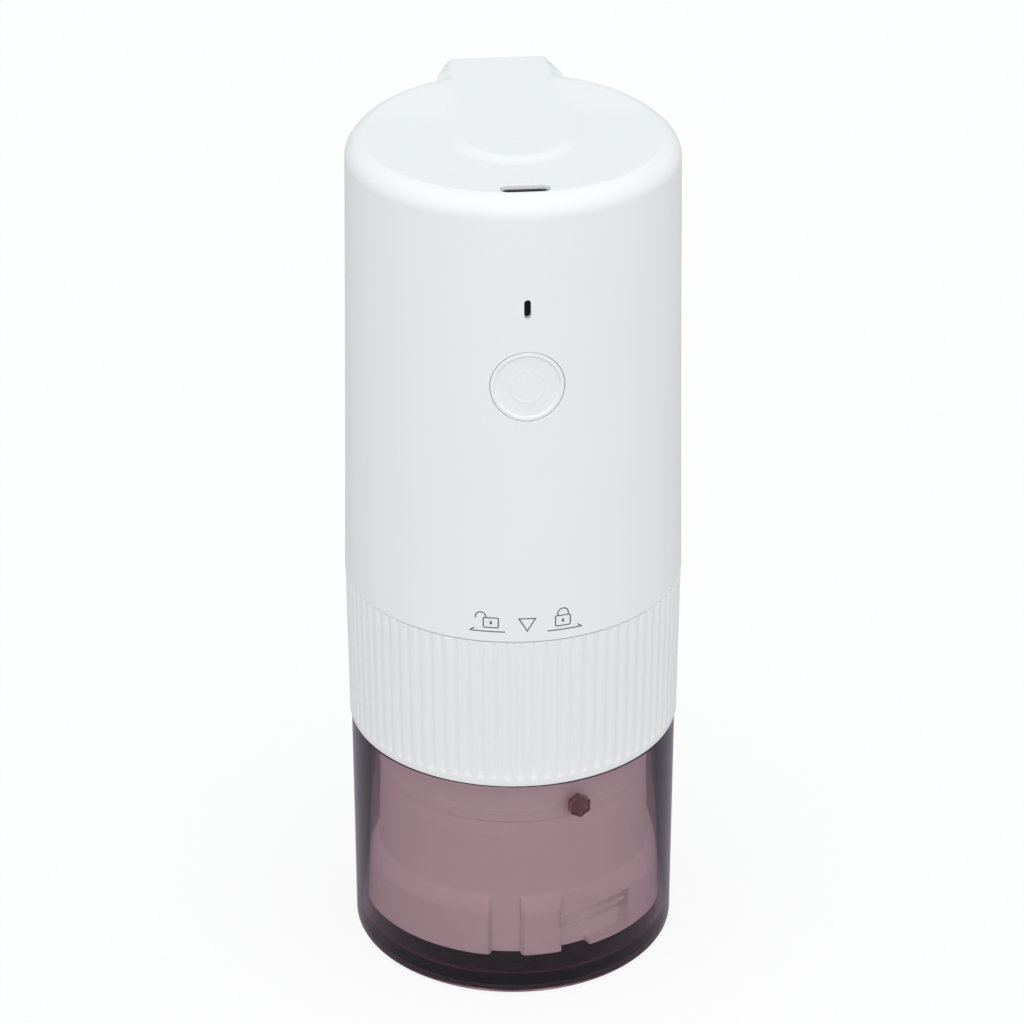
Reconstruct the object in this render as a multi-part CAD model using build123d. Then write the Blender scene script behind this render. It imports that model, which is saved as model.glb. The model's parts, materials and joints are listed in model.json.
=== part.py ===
from build123d import *
import math
import os

# Cordless handheld burr grinder. Millimetres, +Z up, the foot pad stands on z = 0 round the main axis.
# The front, with the power button, faces -Y. Angles of features are counted from the front, towards +X.

# Radii of the outside, each a small step from the foot of the body shell
shell_foot_radius = 36.9
shell_middle_radius = shell_foot_radius - 1.0
shell_top_radius = shell_foot_radius - 1.85
collar_top_radius = shell_foot_radius - 0.1
collar_foot_radius = shell_foot_radius - 0.4
cup_rim_radius = shell_foot_radius - 0.75
cup_base_radius = shell_foot_radius - 0.9

# Cup and foot pad
pad_proud = 0.3
pad_thickness = 2.0
cup_height = 54.1
cup_wall = 1.5
cup_floor = 3.9
cup_corner = 3.0
pad_radius = cup_base_radius - cup_corner - 0.4
cup_inner_corner = 1.8

# Bayonet lugs inside the cup
lug_count = 3
lug_angle = 20.0
lug_height = 5.15
lug_drop = 7.7
lug_gap = 0.25
lug_bevel = 0.6
lug_side_gap = 0.6
lug_run_gap = 0.35

# Burr housing
housing_drop = 45.4
housing_wall = 2.0
ring_radius = cup_rim_radius - cup_wall - 1.45
ring_height = 11.2
shoulder_height = 3.3
barrel_radius = ring_radius - 2.5
bead_radius = ring_radius - 1.2
bead_drop = 11.2
bead_height = 1.8
bead_bevel = 0.5
band_radius = ring_radius - 1.5
cove_height = 3.2
spigot_depth = 2.25
deck_thickness = 3.5
throat_radius = 16.6
deck_screw_circle = barrel_radius - 5.7
notch_angle = -7.6
notch_width = 11.1
notch_depth = 2.0
track_start = -6.4
track_end = 22.9
track_lip = 1.3
track_height = 5.3
rebate_height = 2.2
rebate_depth = 0.65

# Burr set
ring_burr_radius = 20.0
ring_burr_height = 12.0
ring_burr_drop = 2.4
mouth_radius = 16.4
waist_radius = 15.2
outlet_radius = 17.2
waist_drop = 5.0
burr_gap = 0.3
fine_height = 3.0
cone_top_radius = 6.0
cone_top_height = 15.0
seat_gap = 0.05
seat_wall = 2.0
clip_thickness = 1.2
clip_bite = 0.6
coarse_teeth = 6
fine_teeth = 30
ring_teeth = 24
flute_sweep = 42.0
fine_sweep = 7.0

# Burr shaft, bushes and dogs
shaft_radius = 3.0
running_gap = 0.05
bush_wall = 1.95
shoulder_radius = 4.5
shoulder_thickness = 1.2
bush_length = 5.0
shaft_tail = 1.8
dog_radius = 6.5
dog_hub = 4.5
jaw_length = 4.0
jaw_angle = 40.0
jaw_count = 2
jaw_end_gap = 0.9

# Grind adjuster
carriage_ring_wall = 3.3
carriage_hub_radius = 7.5
carriage_arm_width = 4.0
carriage_arm_height = 3.8
carriage_travel = 0.5
dial_gap = 0.1
dial_wall = 1.6
dial_height = 21.2
dial_recess = 0.8
dial_grip_wall = 4.1
dial_grip_height = 3.7
dial_notches = 24
snap_height = 0.8
snap_bite = 0.45

# Ribbed collar and hopper
rim_gap = 0.35
collar_height = 35.75
collar_wall = 3.7
collar_bore = collar_top_radius - collar_wall
collar_web = 3.75
neck_height = 0.3
neck_step = 0.8
neck_wall = 1.15
lip_height = 1.4
rib_count = 80
groove_radius = 1.05
groove_depth = 0.5
seal_width = 2.0
seal_height = 1.5
seal_inner_radius = cup_rim_radius - cup_wall - 1.2
hopper_wall = 1.6
hopper_rim_height = 3.5
hopper_height = 17.0
hopper_gap = 0.1
spider_arm_width = 3.0
spider_arm_height = 4.0

# Body shell
seam_gap = 0.4
shell_height = 100.3
shell_wall = 2.2
cap_thickness = 2.4
cap_edge = 3.7
cap_crease = 12.0
boss_radius = 3.0
boss_circle = shell_foot_radius - shell_wall - 7.7
boss_height = 10.0

# Raised tongue and strap lug on the cap
tongue_height = 1.15
tongue_top_half = 10.2
tongue_base_half = 13.4
tongue_rear = shell_top_radius + 5.95
tongue_arc_y = -3.0
tongue_front_run = 3.4
lug_rear_half = 11.4
lug_depth = 11.0
strap_hole_radius = 1.5
strap_hole_drop = 4.4

# Bottom cover with its bayonet
cover_gap = 0.15
cover_thickness = 3.5
spigot_length = 13.5
spigot_wall = 2.35
spigot_gap = 0.15
twist_angle = 20.0
key_count = 3
key_angle = 60.0
key_half_width = 6.0
key_height = 4.0
key_drop = 3.5
key_reach = 1.4
key_gap = 0.15
key_side_gap = 0.8
hopper_seal_drop = 9.3
hopper_seal_height = 2.1
hopper_seal_bite = 1.05

# Planetary gearbox
gear_module = 0.5
sun_teeth = 12
planet_teeth = 24
ring_gear_teeth = 60
planet_count = 3
gear_play = 0.06
gear_addendum = 0.4
gear_dedendum = 0.6
gear_width = 6.0
gearbox_radius = 18.0
gearbox_floor = 3.0
carrier_thickness = 3.0
carrier_radius = 12.2
carrier_gap = 1.0
planet_gap = 0.5
pin_radius = 1.2
ear_circle = 20.5
ear_radius = 3.0
bush_flange = 0.6

# Motor
motor_plate_thickness = 2.5
motor_radius = 13.8
motor_length = 38.0
motor_boss_radius = 4.4
motor_boss_height = 1.6
motor_cap_radius = 13.0
motor_cap_length = 3.5
motor_shaft_radius = 1.15
terminal_height = 5.0
terminal_width = 2.96
terminal_thickness = 0.56
terminal_circle = 9.5

# Battery cells and chassis
cell_radius = 9.2
cell_length = 64.2
cell_nub_radius = 2.8
cell_nub_height = 0.8
strip_thickness = 0.25
strip_width = 7.0
chassis_thickness = 2.6
chassis_radius = shell_top_radius - shell_wall - 0.85
cell_offset = chassis_radius - cell_radius + 0.3
chassis_wall = 2.0
chassis_wall_angle = 34.0

# Controls, charging socket and board
button_height = 59.1
button_radius = 7.65
button_hole_gap = 0.25
button_flange = 1.25
button_flange_thickness = 0.9
button_flange_y = shell_middle_radius - 3.9
button_travel = 0.6
dish_radius = 6.9
dish_depth = 0.35
dish_slope = 0.35
plunger_radius = 1.7
switch_size = 6.2
switch_gap = 0.3
led_height = 76.3
led_slot_width = 1.42
led_slot_height = 4.28
led_recess = 1.8
pipe_gap = 0.05
usb_y = shell_top_radius - 5.95
usb_width = 8.94
usb_thickness = 3.26
usb_wall = 0.3
usb_length = 8.5
usb_sink = 1.2
usb_slot_width = 10.2
usb_slot_depth = 3.5
board_width = 19.0
board_thickness = 1.6
board_length = 50.0
board_sink = 0.8

# Board components as (width, depth, height, x, height of the foot above the board's end)
chip_sizes = (
    (5.0, 1.2, 5.0, -4.0, 6.0),
    (7.0, 3.0, 7.0, 3.5, 15.0),
    (4.0, 1.0, 5.0, -5.5, 26.0),
    (3.2, 1.6, 6.4, 5.0, 27.0),
    (6.0, 1.4, 4.0, 0.0, 33.5),
)

# Screws
screw_radius = 1.5
screw_head_radius = 2.7
screw_head_height = 1.6
thread_bite = 0.02

# Rounded cap edge: an arc from the upright side that meets the flat top at the crease angle
cap_round = cap_edge / (1 - math.sin(math.radians(cap_crease)))
cap_drop = cap_round * math.cos(math.radians(cap_crease))

# Heights that the pieces share
cup_z = pad_proud
rim_z = cup_z + cup_height
housing_z = rim_z - housing_drop
ring_top_z = housing_z + ring_height
lug_z = rim_z - lug_drop
collar_z = rim_z + rim_gap
collar_top_z = collar_z + collar_height
housing_top_z = collar_z + spigot_depth
ring_burr_top_z = rim_z - ring_burr_drop
ring_burr_z = ring_burr_top_z - ring_burr_height
web_top_z = collar_z + collar_web
cone_z = ring_burr_z
cone_top_z = cone_z + cone_top_height
bush_top_z = cone_z - shoulder_thickness
bush_z = bush_top_z - bush_length
shaft_z = bush_z - shaft_tail
hub_z = web_top_z + hopper_gap
hub_top_z = hub_z + bush_length
driven_z = hub_top_z + 1.4
driven_top_z = driven_z + dog_hub
drive_z = driven_top_z + jaw_length + jaw_end_gap
drive_top_z = drive_z + dog_hub
shell_z = collar_top_z + seam_gap
shell_top_z = shell_z + shell_height
cover_z = collar_top_z
cover_top_z = cover_z + cover_thickness
spigot_z = cover_z - spigot_length
gearbox_z = cover_top_z
gear_floor_z = gearbox_z + gearbox_floor
carrier_z = gear_floor_z + carrier_gap
carrier_top_z = carrier_z + carrier_thickness
planet_z = carrier_top_z + planet_gap
planet_top_z = planet_z + gear_width
motor_plate_z = planet_top_z + carrier_gap
motor_z = motor_plate_z + motor_plate_thickness
motor_top_z = motor_z + motor_length
cell_z = motor_z + chassis_thickness
cell_top_z = cell_z + cell_length + cell_nub_height
chassis_top_z = cell_top_z + strip_thickness
button_z = shell_z + button_height
led_z = shell_z + led_height
usb_top_z = shell_top_z - usb_sink
board_top_z = shell_top_z - cap_thickness - board_sink
board_z = board_top_z - board_length

# Radii that the pieces share
cup_inner_rim = cup_rim_radius - cup_wall
lug_tip = bead_radius + lug_gap
track_floor = lug_tip - lug_run_gap
housing_bore = barrel_radius - housing_wall
seat_radius = ring_burr_radius + seat_gap
bush_bore = shaft_radius + running_gap
bush_radius = bush_bore + bush_wall
dial_radius = housing_bore - dial_gap
dial_bore = dial_radius - dial_wall
carriage_radius = dial_bore - dial_gap
spigot_radius = collar_bore - spigot_gap
key_radius = spigot_radius + key_reach
hopper_seal_radius = collar_bore - running_gap
hopper_groove_radius = spigot_radius - hopper_seal_bite
sun_pitch = gear_module * sun_teeth / 2
planet_pitch = gear_module * planet_teeth / 2
ring_pitch = gear_module * ring_gear_teeth / 2
planet_circle = sun_pitch + planet_pitch
board_front_y = usb_y - usb_thickness / 2

LOW = (Align.CENTER, Align.CENTER, Align.MIN)


def rod(radius, low, high, x=0.0, y=0.0):
    return Pos(x, y, low) * Cylinder(radius, high - low, align=LOW)


def tube(inner, outer, low, high):
    return rod(outer, low, high) - rod(inner, low - 1, high + 1)


def block(width, depth, low, high, x=0.0, y=0.0):
    return Pos(x, y, low) * Box(width, depth, high - low, align=LOW)


def turned(*corners):
    # Turned solid from (radius, height) corners, with an optional third value that rounds the corner
    face = make_face(Polyline(*[(corner[0], 0, corner[1]) for corner in corners], close=True))
    for corner in corners:
        if len(corner) == 3:
            vertex = face.vertices().sort_by_distance(Vector(corner[0], 0, corner[1]))[0]
            face = fillet(vertex, corner[2])
    return revolve(face, Axis.Z)


def sector(inner, outer, low, high, start, end):
    # Piece of a ring between two angles from the front
    middle = Pos((inner + outer) / 2, (low + high) / 2)
    face = Plane.XZ * middle * Rectangle(outer - inner, high - low)
    return Rot(0, 0, start - 90) * revolve(face, Axis.Z, revolution_arc=end - start)


def around(shape, count, first=0.0):
    return [Rot(0, 0, first + 360 * index / count) * shape for index in range(count)]


def front_point(radius, angle):
    # Place on a circle at an angle from the front
    turn = math.radians(angle)
    return radius * math.sin(turn), -radius * math.cos(turn)


def front_prism(face, near, far):
    # A face drawn in (x, z) and pushed from y = -near to y = -far
    return extrude(Plane.XZ.offset(near) * face, far - near)


def stadium(width, height):
    # Upright slot outline when height is the longer side, otherwise lying
    if height > width:
        return SlotOverall(height, width, rotation=90)
    return SlotOverall(width, height)


def shell_radius(z):
    # Outer radius on the circle through the foot, middle and top of the shell
    low, high = shell_z, shell_top_z - cap_drop
    share = (z - low) / (high - low)
    straight = shell_foot_radius + (shell_top_radius - shell_foot_radius) * share
    bow = shell_middle_radius - (shell_foot_radius + shell_top_radius) / 2
    return straight + bow * 4 * share * (1 - share)


def cup():
    body = turned(
        (0, cup_z),
        (cup_base_radius, cup_z, cup_corner),
        (cup_rim_radius, rim_z),
        (cup_inner_rim, rim_z),
        (cup_base_radius - cup_wall, cup_z + cup_floor, cup_inner_corner),
        (0, cup_z + cup_floor),
    )
    body -= rod(pad_radius, 0, pad_thickness)
    hexagon = Pos(0, lug_z) * RegularPolygon(lug_height / 2, 6, rotation=30)
    lug = front_prism(hexagon, lug_tip, cup_inner_rim + cup_wall / 2)
    tip = lug.faces().sort_by(Axis.Y)[-1]
    lug = chamfer(tip.edges(), lug_bevel)
    for copy in around(lug, lug_count, lug_angle):
        body += copy
    return body


def base_pad():
    return rod(pad_radius - running_gap, 0, pad_thickness)


def cup_seal():
    return tube(seal_inner_radius, seal_inner_radius + seal_width, rim_z, rim_z + seal_height)


def track_cuts():
    # Stepped L track with its mouth at the bottom, open above the mouth so that the lug drops through
    half = math.degrees(lug_height * math.sqrt(3) / 4 / lug_tip)
    half += math.degrees(lug_side_gap / lug_tip)
    outer = ring_radius + 1
    lip_z = housing_z + track_lip
    step_z = lip_z + track_height
    cuts = []
    for number in range(lug_count):
        middle = lug_angle + 360 * number / lug_count
        cuts.append(sector(track_floor, outer, housing_z - 1, step_z, middle + track_start, middle + half))
        cuts.append(sector(track_floor, outer, lip_z, step_z, middle, middle + track_end))
        rebate_top = step_z + rebate_height
        rebate_floor = ring_radius - rebate_depth
        cuts.append(sector(rebate_floor, outer, step_z, rebate_top, middle + track_start, middle + track_end))
        shoulder_top = ring_top_z + shoulder_height
        cuts.append(sector(track_floor, outer, step_z, shoulder_top, middle - half, middle + half))
        start = notch_angle - notch_width / 2 + 360 * number / lug_count
        notch_floor = ring_radius - notch_depth
        cuts.append(sector(notch_floor, outer, housing_z - 1, shoulder_top, start, start + notch_width))
    return cuts


def burr_housing():
    bead_top = rim_z - bead_drop + bead_height
    bead_bottom = rim_z - bead_drop
    tube_radius = seat_radius + seat_wall
    tube_bottom = ring_burr_z - clip_thickness - 0.8
    snap_z = housing_z + dial_recess + dial_grip_height + 1.2
    snap_radius = housing_bore - snap_bite
    body = turned(
        (ring_radius, housing_z),
        (ring_radius, ring_top_z),
        (barrel_radius, ring_top_z + shoulder_height),
        (barrel_radius, bead_bottom - bead_bevel - cove_height),
        (bead_radius - bead_bevel, bead_bottom - bead_bevel, cove_height / 2),
        (bead_radius, bead_bottom),
        (bead_radius, bead_top),
        (band_radius, bead_top + bead_bevel),
        (band_radius, housing_top_z),
        (throat_radius, housing_top_z),
        (throat_radius, ring_burr_top_z),
        (seat_radius, ring_burr_top_z),
        (seat_radius, ring_burr_z),
        (seat_radius + clip_bite, ring_burr_z),
        (seat_radius + clip_bite, ring_burr_z - clip_thickness),
        (seat_radius, ring_burr_z - clip_thickness),
        (seat_radius, tube_bottom),
        (tube_radius, tube_bottom),
        (tube_radius, housing_top_z - deck_thickness),
        (housing_bore, housing_top_z - deck_thickness),
        (housing_bore, snap_z + snap_height),
        (snap_radius, snap_z + snap_height),
        (snap_radius, snap_z),
        (housing_bore, snap_z),
        (housing_bore, housing_z),
    )
    body -= track_cuts()
    low = housing_z + dial_recess + dial_height + 0.2
    high = low + carriage_arm_height + 2 * carriage_travel + 1.5
    side = carriage_arm_width / 2 + dial_gap + 0.6
    guide = block(1.2, 2.2, low, high, y=-(housing_bore - 0.5))
    for number in range(3):
        for way in (-1, 1):
            body += Rot(0, 0, 120 * number) * Pos(way * side, 0, 0) * guide
    deck_low = housing_top_z - deck_thickness - 6
    for spot in around(rod(screw_radius, deck_low, housing_top_z, y=-deck_screw_circle), 3, 60):
        body -= spot
    return body


def ring_burr():
    body = turned(
        (ring_burr_radius, ring_burr_z),
        (ring_burr_radius, ring_burr_top_z),
        (mouth_radius, ring_burr_top_z),
        (waist_radius, ring_burr_top_z - waist_drop),
        (outlet_radius, ring_burr_z),
    )
    diamond = Rot(0, 0, 45) * Rectangle(1.5, 1.5)
    groove = Pos(0, -outlet_radius + 0.3, ring_burr_z - 1) * extrude(diamond, ring_burr_height + 2)
    lean = Rot(0, -9, 0)
    return body - around(Pos(0, 0, cone_z) * lean * Pos(0, 0, -cone_z) * groove, ring_teeth)


def burr_clip():
    outer = seat_radius + clip_bite - running_gap
    ring = tube(outlet_radius + 0.7, outer, ring_burr_z - clip_thickness + running_gap, ring_burr_z)
    return ring - block(7, 8, ring_burr_z - clip_thickness - 1, ring_burr_z + 1, y=-ring_burr_radius)


def slot_along(start, end, width, depth):
    # Bar from one place to another, each (radius, angle, height), cut downwards by depth
    first = Vector(*front_point(start[0], start[1]), start[2])
    last = Vector(*front_point(end[0], end[1]), end[2])
    run = last - first
    outward = Vector(first.X + last.X, first.Y + last.Y, 0).normalized()
    plane = Plane(origin=first, x_dir=run, z_dir=run.cross(outward.cross(run)))
    length = run.length
    bar = Box(length, width, depth + 6, align=(Align.MIN, Align.CENTER, Align.MIN))
    return plane * Pos(0, 0, -depth) * bar


def cone_radius(height):
    # Fine zone parallel to the ring burr, then a steeper feed cone
    flare = (outlet_radius - waist_radius) / (ring_burr_height - waist_drop)
    if height <= fine_height:
        return outlet_radius - burr_gap - flare * height
    fine_top = outlet_radius - burr_gap - flare * fine_height
    share = (height - fine_height) / (cone_top_height - fine_height)
    return fine_top + (cone_top_radius - fine_top) * share


def inner_burr():
    body = turned(
        (shaft_radius + thread_bite, cone_z),
        (cone_radius(0), cone_z),
        (cone_radius(fine_height), cone_z + fine_height),
        (cone_top_radius, cone_top_z),
        (shaft_radius + thread_bite, cone_top_z),
    )
    coarse = slot_along(
        (cone_radius(1.5) + 0.2, 0, cone_z + 1.5),
        (cone_top_radius - 1.2, flute_sweep, cone_top_z + 1),
        2.2,
        0.6,
    )
    fine = slot_along(
        (cone_radius(0) + 0.1, 0, cone_z - 0.5),
        (cone_radius(fine_height + 1.5), fine_sweep, cone_z + fine_height + 1.5),
        0.8,
        0.6,
    )
    return body - around(coarse, coarse_teeth) - around(fine, fine_teeth)


def burr_shaft():
    body = rod(shaft_radius, shaft_z, driven_top_z)
    body += rod(shoulder_radius, bush_top_z, cone_z)
    groove_z = bush_z - 1.2
    return body - tube(shaft_radius - 0.4, shaft_radius + 1, groove_z, groove_z + 1.0)


def shaft_clip():
    low = bush_z - 1.2 + running_gap
    ring = tube(shaft_radius - 0.4 + running_gap, shaft_radius + 2.2, low, bush_z - 0.2 - running_gap)
    return ring - block(3.4, 6, low - 1, bush_z, y=-shaft_radius)


def burr_nut():
    low = cone_top_z
    nut = Pos(0, 0, low) * extrude(RegularPolygon(shaft_radius + 2.4, 6), hub_z - low - 1.1)
    return nut - rod(shaft_radius + thread_bite, low - 1, hub_z)


def jaw_ring(low, high, first):
    inner = shaft_radius + 0.5
    return [
        sector(inner, dog_radius, low, high, first + start - jaw_angle / 2, first + start + jaw_angle / 2)
        for start in (0, 180)[:jaw_count]
    ]


def driven_dog():
    body = tube(shaft_radius + thread_bite, dog_radius, driven_z, driven_top_z)
    for jaw in jaw_ring(driven_top_z, driven_top_z + jaw_length, 90):
        body += jaw
    return body


def drive_dog():
    body = tube(shaft_radius + thread_bite, dog_radius, drive_z, drive_top_z)
    for jaw in jaw_ring(drive_z - jaw_length, drive_z, 0):
        body += jaw
    return body


def burr_carriage():
    arm_z = housing_z + dial_recess + dial_height + carriage_travel + 0.3
    arm_top_z = arm_z + carriage_arm_height
    body = tube(bush_radius + thread_bite, carriage_hub_radius, bush_z, bush_top_z - 0.2)
    ring_inner = carriage_radius - carriage_ring_wall
    body += tube(ring_inner, carriage_radius, arm_z - 7.3, arm_top_z)
    reach = housing_bore - 0.4
    bar = block(carriage_arm_width, reach - carriage_hub_radius + 1, arm_z, arm_top_z)
    bar = Pos(0, -(reach + carriage_hub_radius - 1) / 2, 0) * bar
    for arm in around(bar, 3):
        body += arm
    return body


def lower_bush():
    return tube(bush_bore, bush_radius, bush_z, bush_top_z)


def upper_bush():
    return tube(bush_bore, bush_radius, hub_z, hub_top_z)


def adjuster_dial():
    low = housing_z + dial_recess
    grip_top = low + dial_grip_height
    snap_z = grip_top + 1.2
    snap_radius = dial_radius - snap_bite - dial_gap
    body = turned(
        (dial_radius, low, 0.6),
        (dial_radius, snap_z - dial_gap),
        (snap_radius, snap_z - dial_gap),
        (snap_radius, snap_z + snap_height + dial_gap),
        (dial_radius, snap_z + snap_height + dial_gap),
        (dial_radius, low + dial_height),
        (dial_bore, low + dial_height),
        (dial_bore, grip_top),
        (dial_radius - dial_grip_wall, grip_top),
        (dial_radius - dial_grip_wall, low, 0.6),
    )
    notch = rod(1.3, low - 1, grip_top + 1, y=-(dial_radius - dial_grip_wall))
    return body - around(notch, dial_notches)


def collar():
    # Sleeve with rounded grooves, an inner web over the burr housing and the female half of the bayonet
    recess_top = housing_top_z
    neck_radius = collar_top_radius - neck_step
    seal_low = seal_inner_radius - running_gap
    seal_high = seal_inner_radius + seal_width + running_gap
    seal_top = rim_z + seal_height + running_gap
    body = turned(
        (collar_foot_radius, collar_z),
        (collar_foot_radius, collar_z + lip_height),
        (collar_top_radius, collar_top_z),
        (neck_radius, collar_top_z),
        (neck_radius, collar_top_z + neck_height),
        (neck_radius - neck_wall, collar_top_z + neck_height),
        (neck_radius - neck_wall, collar_top_z),
        (collar_bore, collar_top_z),
        (collar_bore, web_top_z),
        (throat_radius, web_top_z),
        (throat_radius, recess_top),
        (band_radius + seat_gap, recess_top),
        (band_radius + seat_gap, collar_z),
        (seal_low, collar_z),
        (seal_low, seal_top),
        (seal_high, seal_top),
        (seal_high, collar_z),
    )
    axis_radius = (collar_foot_radius + collar_top_radius) / 2 + groove_radius - groove_depth
    groove_z = collar_z + lip_height + groove_radius
    groove = rod(groove_radius, groove_z, collar_top_z + neck_height / 2, y=-axis_radius)
    groove += Pos(0, -axis_radius, groove_z) * Sphere(groove_radius)
    body -= around(groove, rib_count, 180 / rib_count)
    floor = key_radius + key_gap
    low = cover_z - key_drop - key_height - key_gap
    high = low + key_height + 2 * key_gap
    half = key_half_width + key_side_gap
    for number in range(key_count):
        middle = key_angle + 360 * number / key_count
        body -= sector(collar_bore - 1, floor, low, collar_top_z + 1, middle - half, middle + half)
        body -= sector(collar_bore - 1, floor, low, high, middle - half - twist_angle, middle + half)
    for spot in around(rod(screw_radius + 0.2, recess_top - 1, web_top_z + 1, y=-deck_screw_circle), 3, 60):
        body -= spot
    return body


def hopper():
    top = hub_z + hopper_height
    rim_low = top - hopper_rim_height
    rim = collar_bore - hopper_gap
    body = turned(
        (throat_radius + hopper_wall, hub_z),
        (rim, rim_low),
        (rim, top),
        (rim - hopper_wall, top),
        (rim - hopper_wall, rim_low + 0.6),
        (throat_radius, hub_z + 0.6),
        (throat_radius, hub_z),
    )
    hub = tube(bush_radius + thread_bite, bush_radius + 1.6, hub_z, hub_top_z)
    arm_low = hub_z + 0.2
    arm_reach = throat_radius + 2.5
    arm = block(spider_arm_width, arm_reach - bush_radius - 0.6, arm_low, arm_low + spider_arm_height)
    arm = Pos(0, -(arm_reach + bush_radius + 0.6) / 2, 0) * arm
    body += hub
    for copy in around(arm, 3):
        body += copy
    return body


def housing_screws():
    screws = Part()
    for index in range(3):
        x, y = front_point(deck_screw_circle, 60 + 120 * index)
        screws += rod(screw_radius - thread_bite, housing_top_z - deck_thickness - 3, web_top_z, x, y)
        screws += rod(screw_head_radius, web_top_z, web_top_z + screw_head_height, x, y)
    return screws


def hopper_seal():
    low = cover_z - hopper_seal_drop - hopper_seal_height
    inner = hopper_groove_radius + running_gap
    return tube(inner, hopper_seal_radius, low + running_gap, low + hopper_seal_height - running_gap)


def bottom_cover():
    seal_low = cover_z - hopper_seal_drop - hopper_seal_height
    plate_low = cover_z + 0.9
    spigot_inner = spigot_radius - spigot_wall
    flange = shell_foot_radius - shell_wall - cover_gap
    body = turned(
        (bush_radius + thread_bite, plate_low),
        (spigot_inner, plate_low),
        (spigot_inner, spigot_z),
        (spigot_radius, spigot_z),
        (spigot_radius, seal_low),
        (hopper_groove_radius, seal_low),
        (hopper_groove_radius, seal_low + hopper_seal_height),
        (spigot_radius, seal_low + hopper_seal_height),
        (spigot_radius, cover_z),
        (flange, cover_z),
        (flange, cover_top_z),
        (bush_radius + thread_bite, cover_top_z),
    )
    high = cover_z - key_drop
    key = sector(spigot_radius - 0.5, key_radius, high - key_height, high, -key_half_width, key_half_width)
    for copy in around(key, key_count, key_angle):
        body += copy
    for spot in around(rod(screw_radius + 0.2, plate_low - 1, cover_top_z + 1, y=-boss_circle), 3):
        body -= spot
    for spot in around(rod(screw_radius, plate_low + 0.8, cover_top_z + 1, y=-ear_circle), 3, 60):
        body -= spot
    return body


def cover_screws():
    screws = Part()
    low = cover_z + 0.9
    for index in range(3):
        x, y = front_point(boss_circle, 120 * index)
        screws += rod(screw_head_radius, low - screw_head_height, low, x, y)
        screws += rod(screw_radius - thread_bite, low, cover_top_z + boss_height - 2, x, y)
    return screws


def involute(angle):
    return math.tan(angle) - angle


def gear_face(teeth, play, tip, root, turn=0.0):
    # Tooth half angle at a radius = its value at the pitch circle + inv(20 deg) - inv(pressure angle there)
    pitch = gear_module * teeth / 2
    pressure = math.radians(20)
    base = pitch * math.cos(pressure)
    at_pitch = (math.pi * gear_module / 2 - play) / 2 / pitch
    radii = [root, max(base, root) + (tip - max(base, root)) / 4, pitch, tip]

    def half_angle(radius):
        return at_pitch + involute(pressure) - involute(math.acos(min(1, base / radius)))

    points = []
    for tooth in range(teeth):
        middle = math.radians(turn) + 2 * math.pi * tooth / teeth
        flank = [(radius, half_angle(radius)) for radius in radii]
        for radius, half in flank:
            points.append((radius * math.cos(middle - half), radius * math.sin(middle - half)))
        for radius, half in reversed(flank):
            points.append((radius * math.cos(middle + half), radius * math.sin(middle + half)))
    return make_face(Polyline(*points, close=True))


def gear(teeth, low, high, turn=0.0):
    pitch = gear_module * teeth / 2
    face = gear_face(teeth, gear_play, pitch + gear_addendum, pitch - gear_dedendum, turn)
    return Pos(0, 0, low) * extrude(face, high - low)


def eared_disc(low, high):
    body = rod(gearbox_radius, low, high)
    for index in range(3):
        x, y = front_point(ear_circle, 60 + 120 * index)
        body += rod(ear_radius, low, high, x, y)
    for index in range(3):
        x, y = front_point(ear_circle, 60 + 120 * index)
        body -= rod(screw_radius - 0.2, low - 1, high + 1, x, y)
    return body


def gearbox_base():
    return eared_disc(gearbox_z, gear_floor_z) - rod(bush_radius + thread_bite, gearbox_z - 1, gear_floor_z + 1)


def output_bearing():
    body = tube(bush_bore, bush_radius, cover_z + 0.9, gear_floor_z + bush_flange)
    return body + tube(bush_radius - 0.5, bush_radius + 1.2, gear_floor_z, gear_floor_z + bush_flange)


def ring_gear():
    outer, inner = ring_pitch + gear_dedendum, ring_pitch - gear_addendum
    face = gear_face(ring_gear_teeth, -gear_play, outer, inner, 180 / ring_gear_teeth)
    space = Pos(0, 0, gear_floor_z - 1) * extrude(face, motor_plate_z - gear_floor_z + 2)
    return eared_disc(gear_floor_z, motor_plate_z) - space


def motor_plate():
    hole = rod(motor_boss_radius + seat_gap, motor_plate_z - 1, motor_z + 1)
    return eared_disc(motor_plate_z, motor_z) - hole


def gearbox_screws():
    screws = Part()
    for index in range(3):
        x, y = front_point(ear_circle, 60 + 120 * index)
        screws += rod(screw_radius - 0.25, cover_z + 1.9, motor_z, x, y)
        screws += rod(screw_head_radius - 0.3, motor_z, motor_z + screw_head_height, x, y)
    return screws


def output_shaft():
    return rod(shaft_radius, drive_z, carrier_top_z)


def planet_places():
    places = []
    for index in range(planet_count):
        angle = math.radians(90 + 360 * index / planet_count)
        places.append((planet_circle * math.cos(angle), planet_circle * math.sin(angle)))
    return places


def planet_carrier():
    body = tube(shaft_radius + thread_bite, carrier_radius, carrier_z, carrier_top_z)
    for x, y in planet_places():
        body += rod(pin_radius, carrier_z, planet_top_z + carrier_gap / 2, x, y)
    return body


def planet_gear(index):
    x, y = planet_places()[index]
    half_tooth = 180 / planet_teeth
    body = gear(planet_teeth, planet_z, planet_top_z, half_tooth)
    return Pos(x, y, 0) * (body - rod(pin_radius + running_gap, planet_z - 1, planet_top_z + 1))


def sun_pinion():
    body = gear(sun_teeth, planet_z, motor_plate_z)
    return body - rod(motor_shaft_radius + thread_bite, planet_z - 1, motor_plate_z + 1)


def motor_shaft():
    return rod(motor_shaft_radius, planet_z, motor_top_z + motor_cap_length + 1.5)


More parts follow.
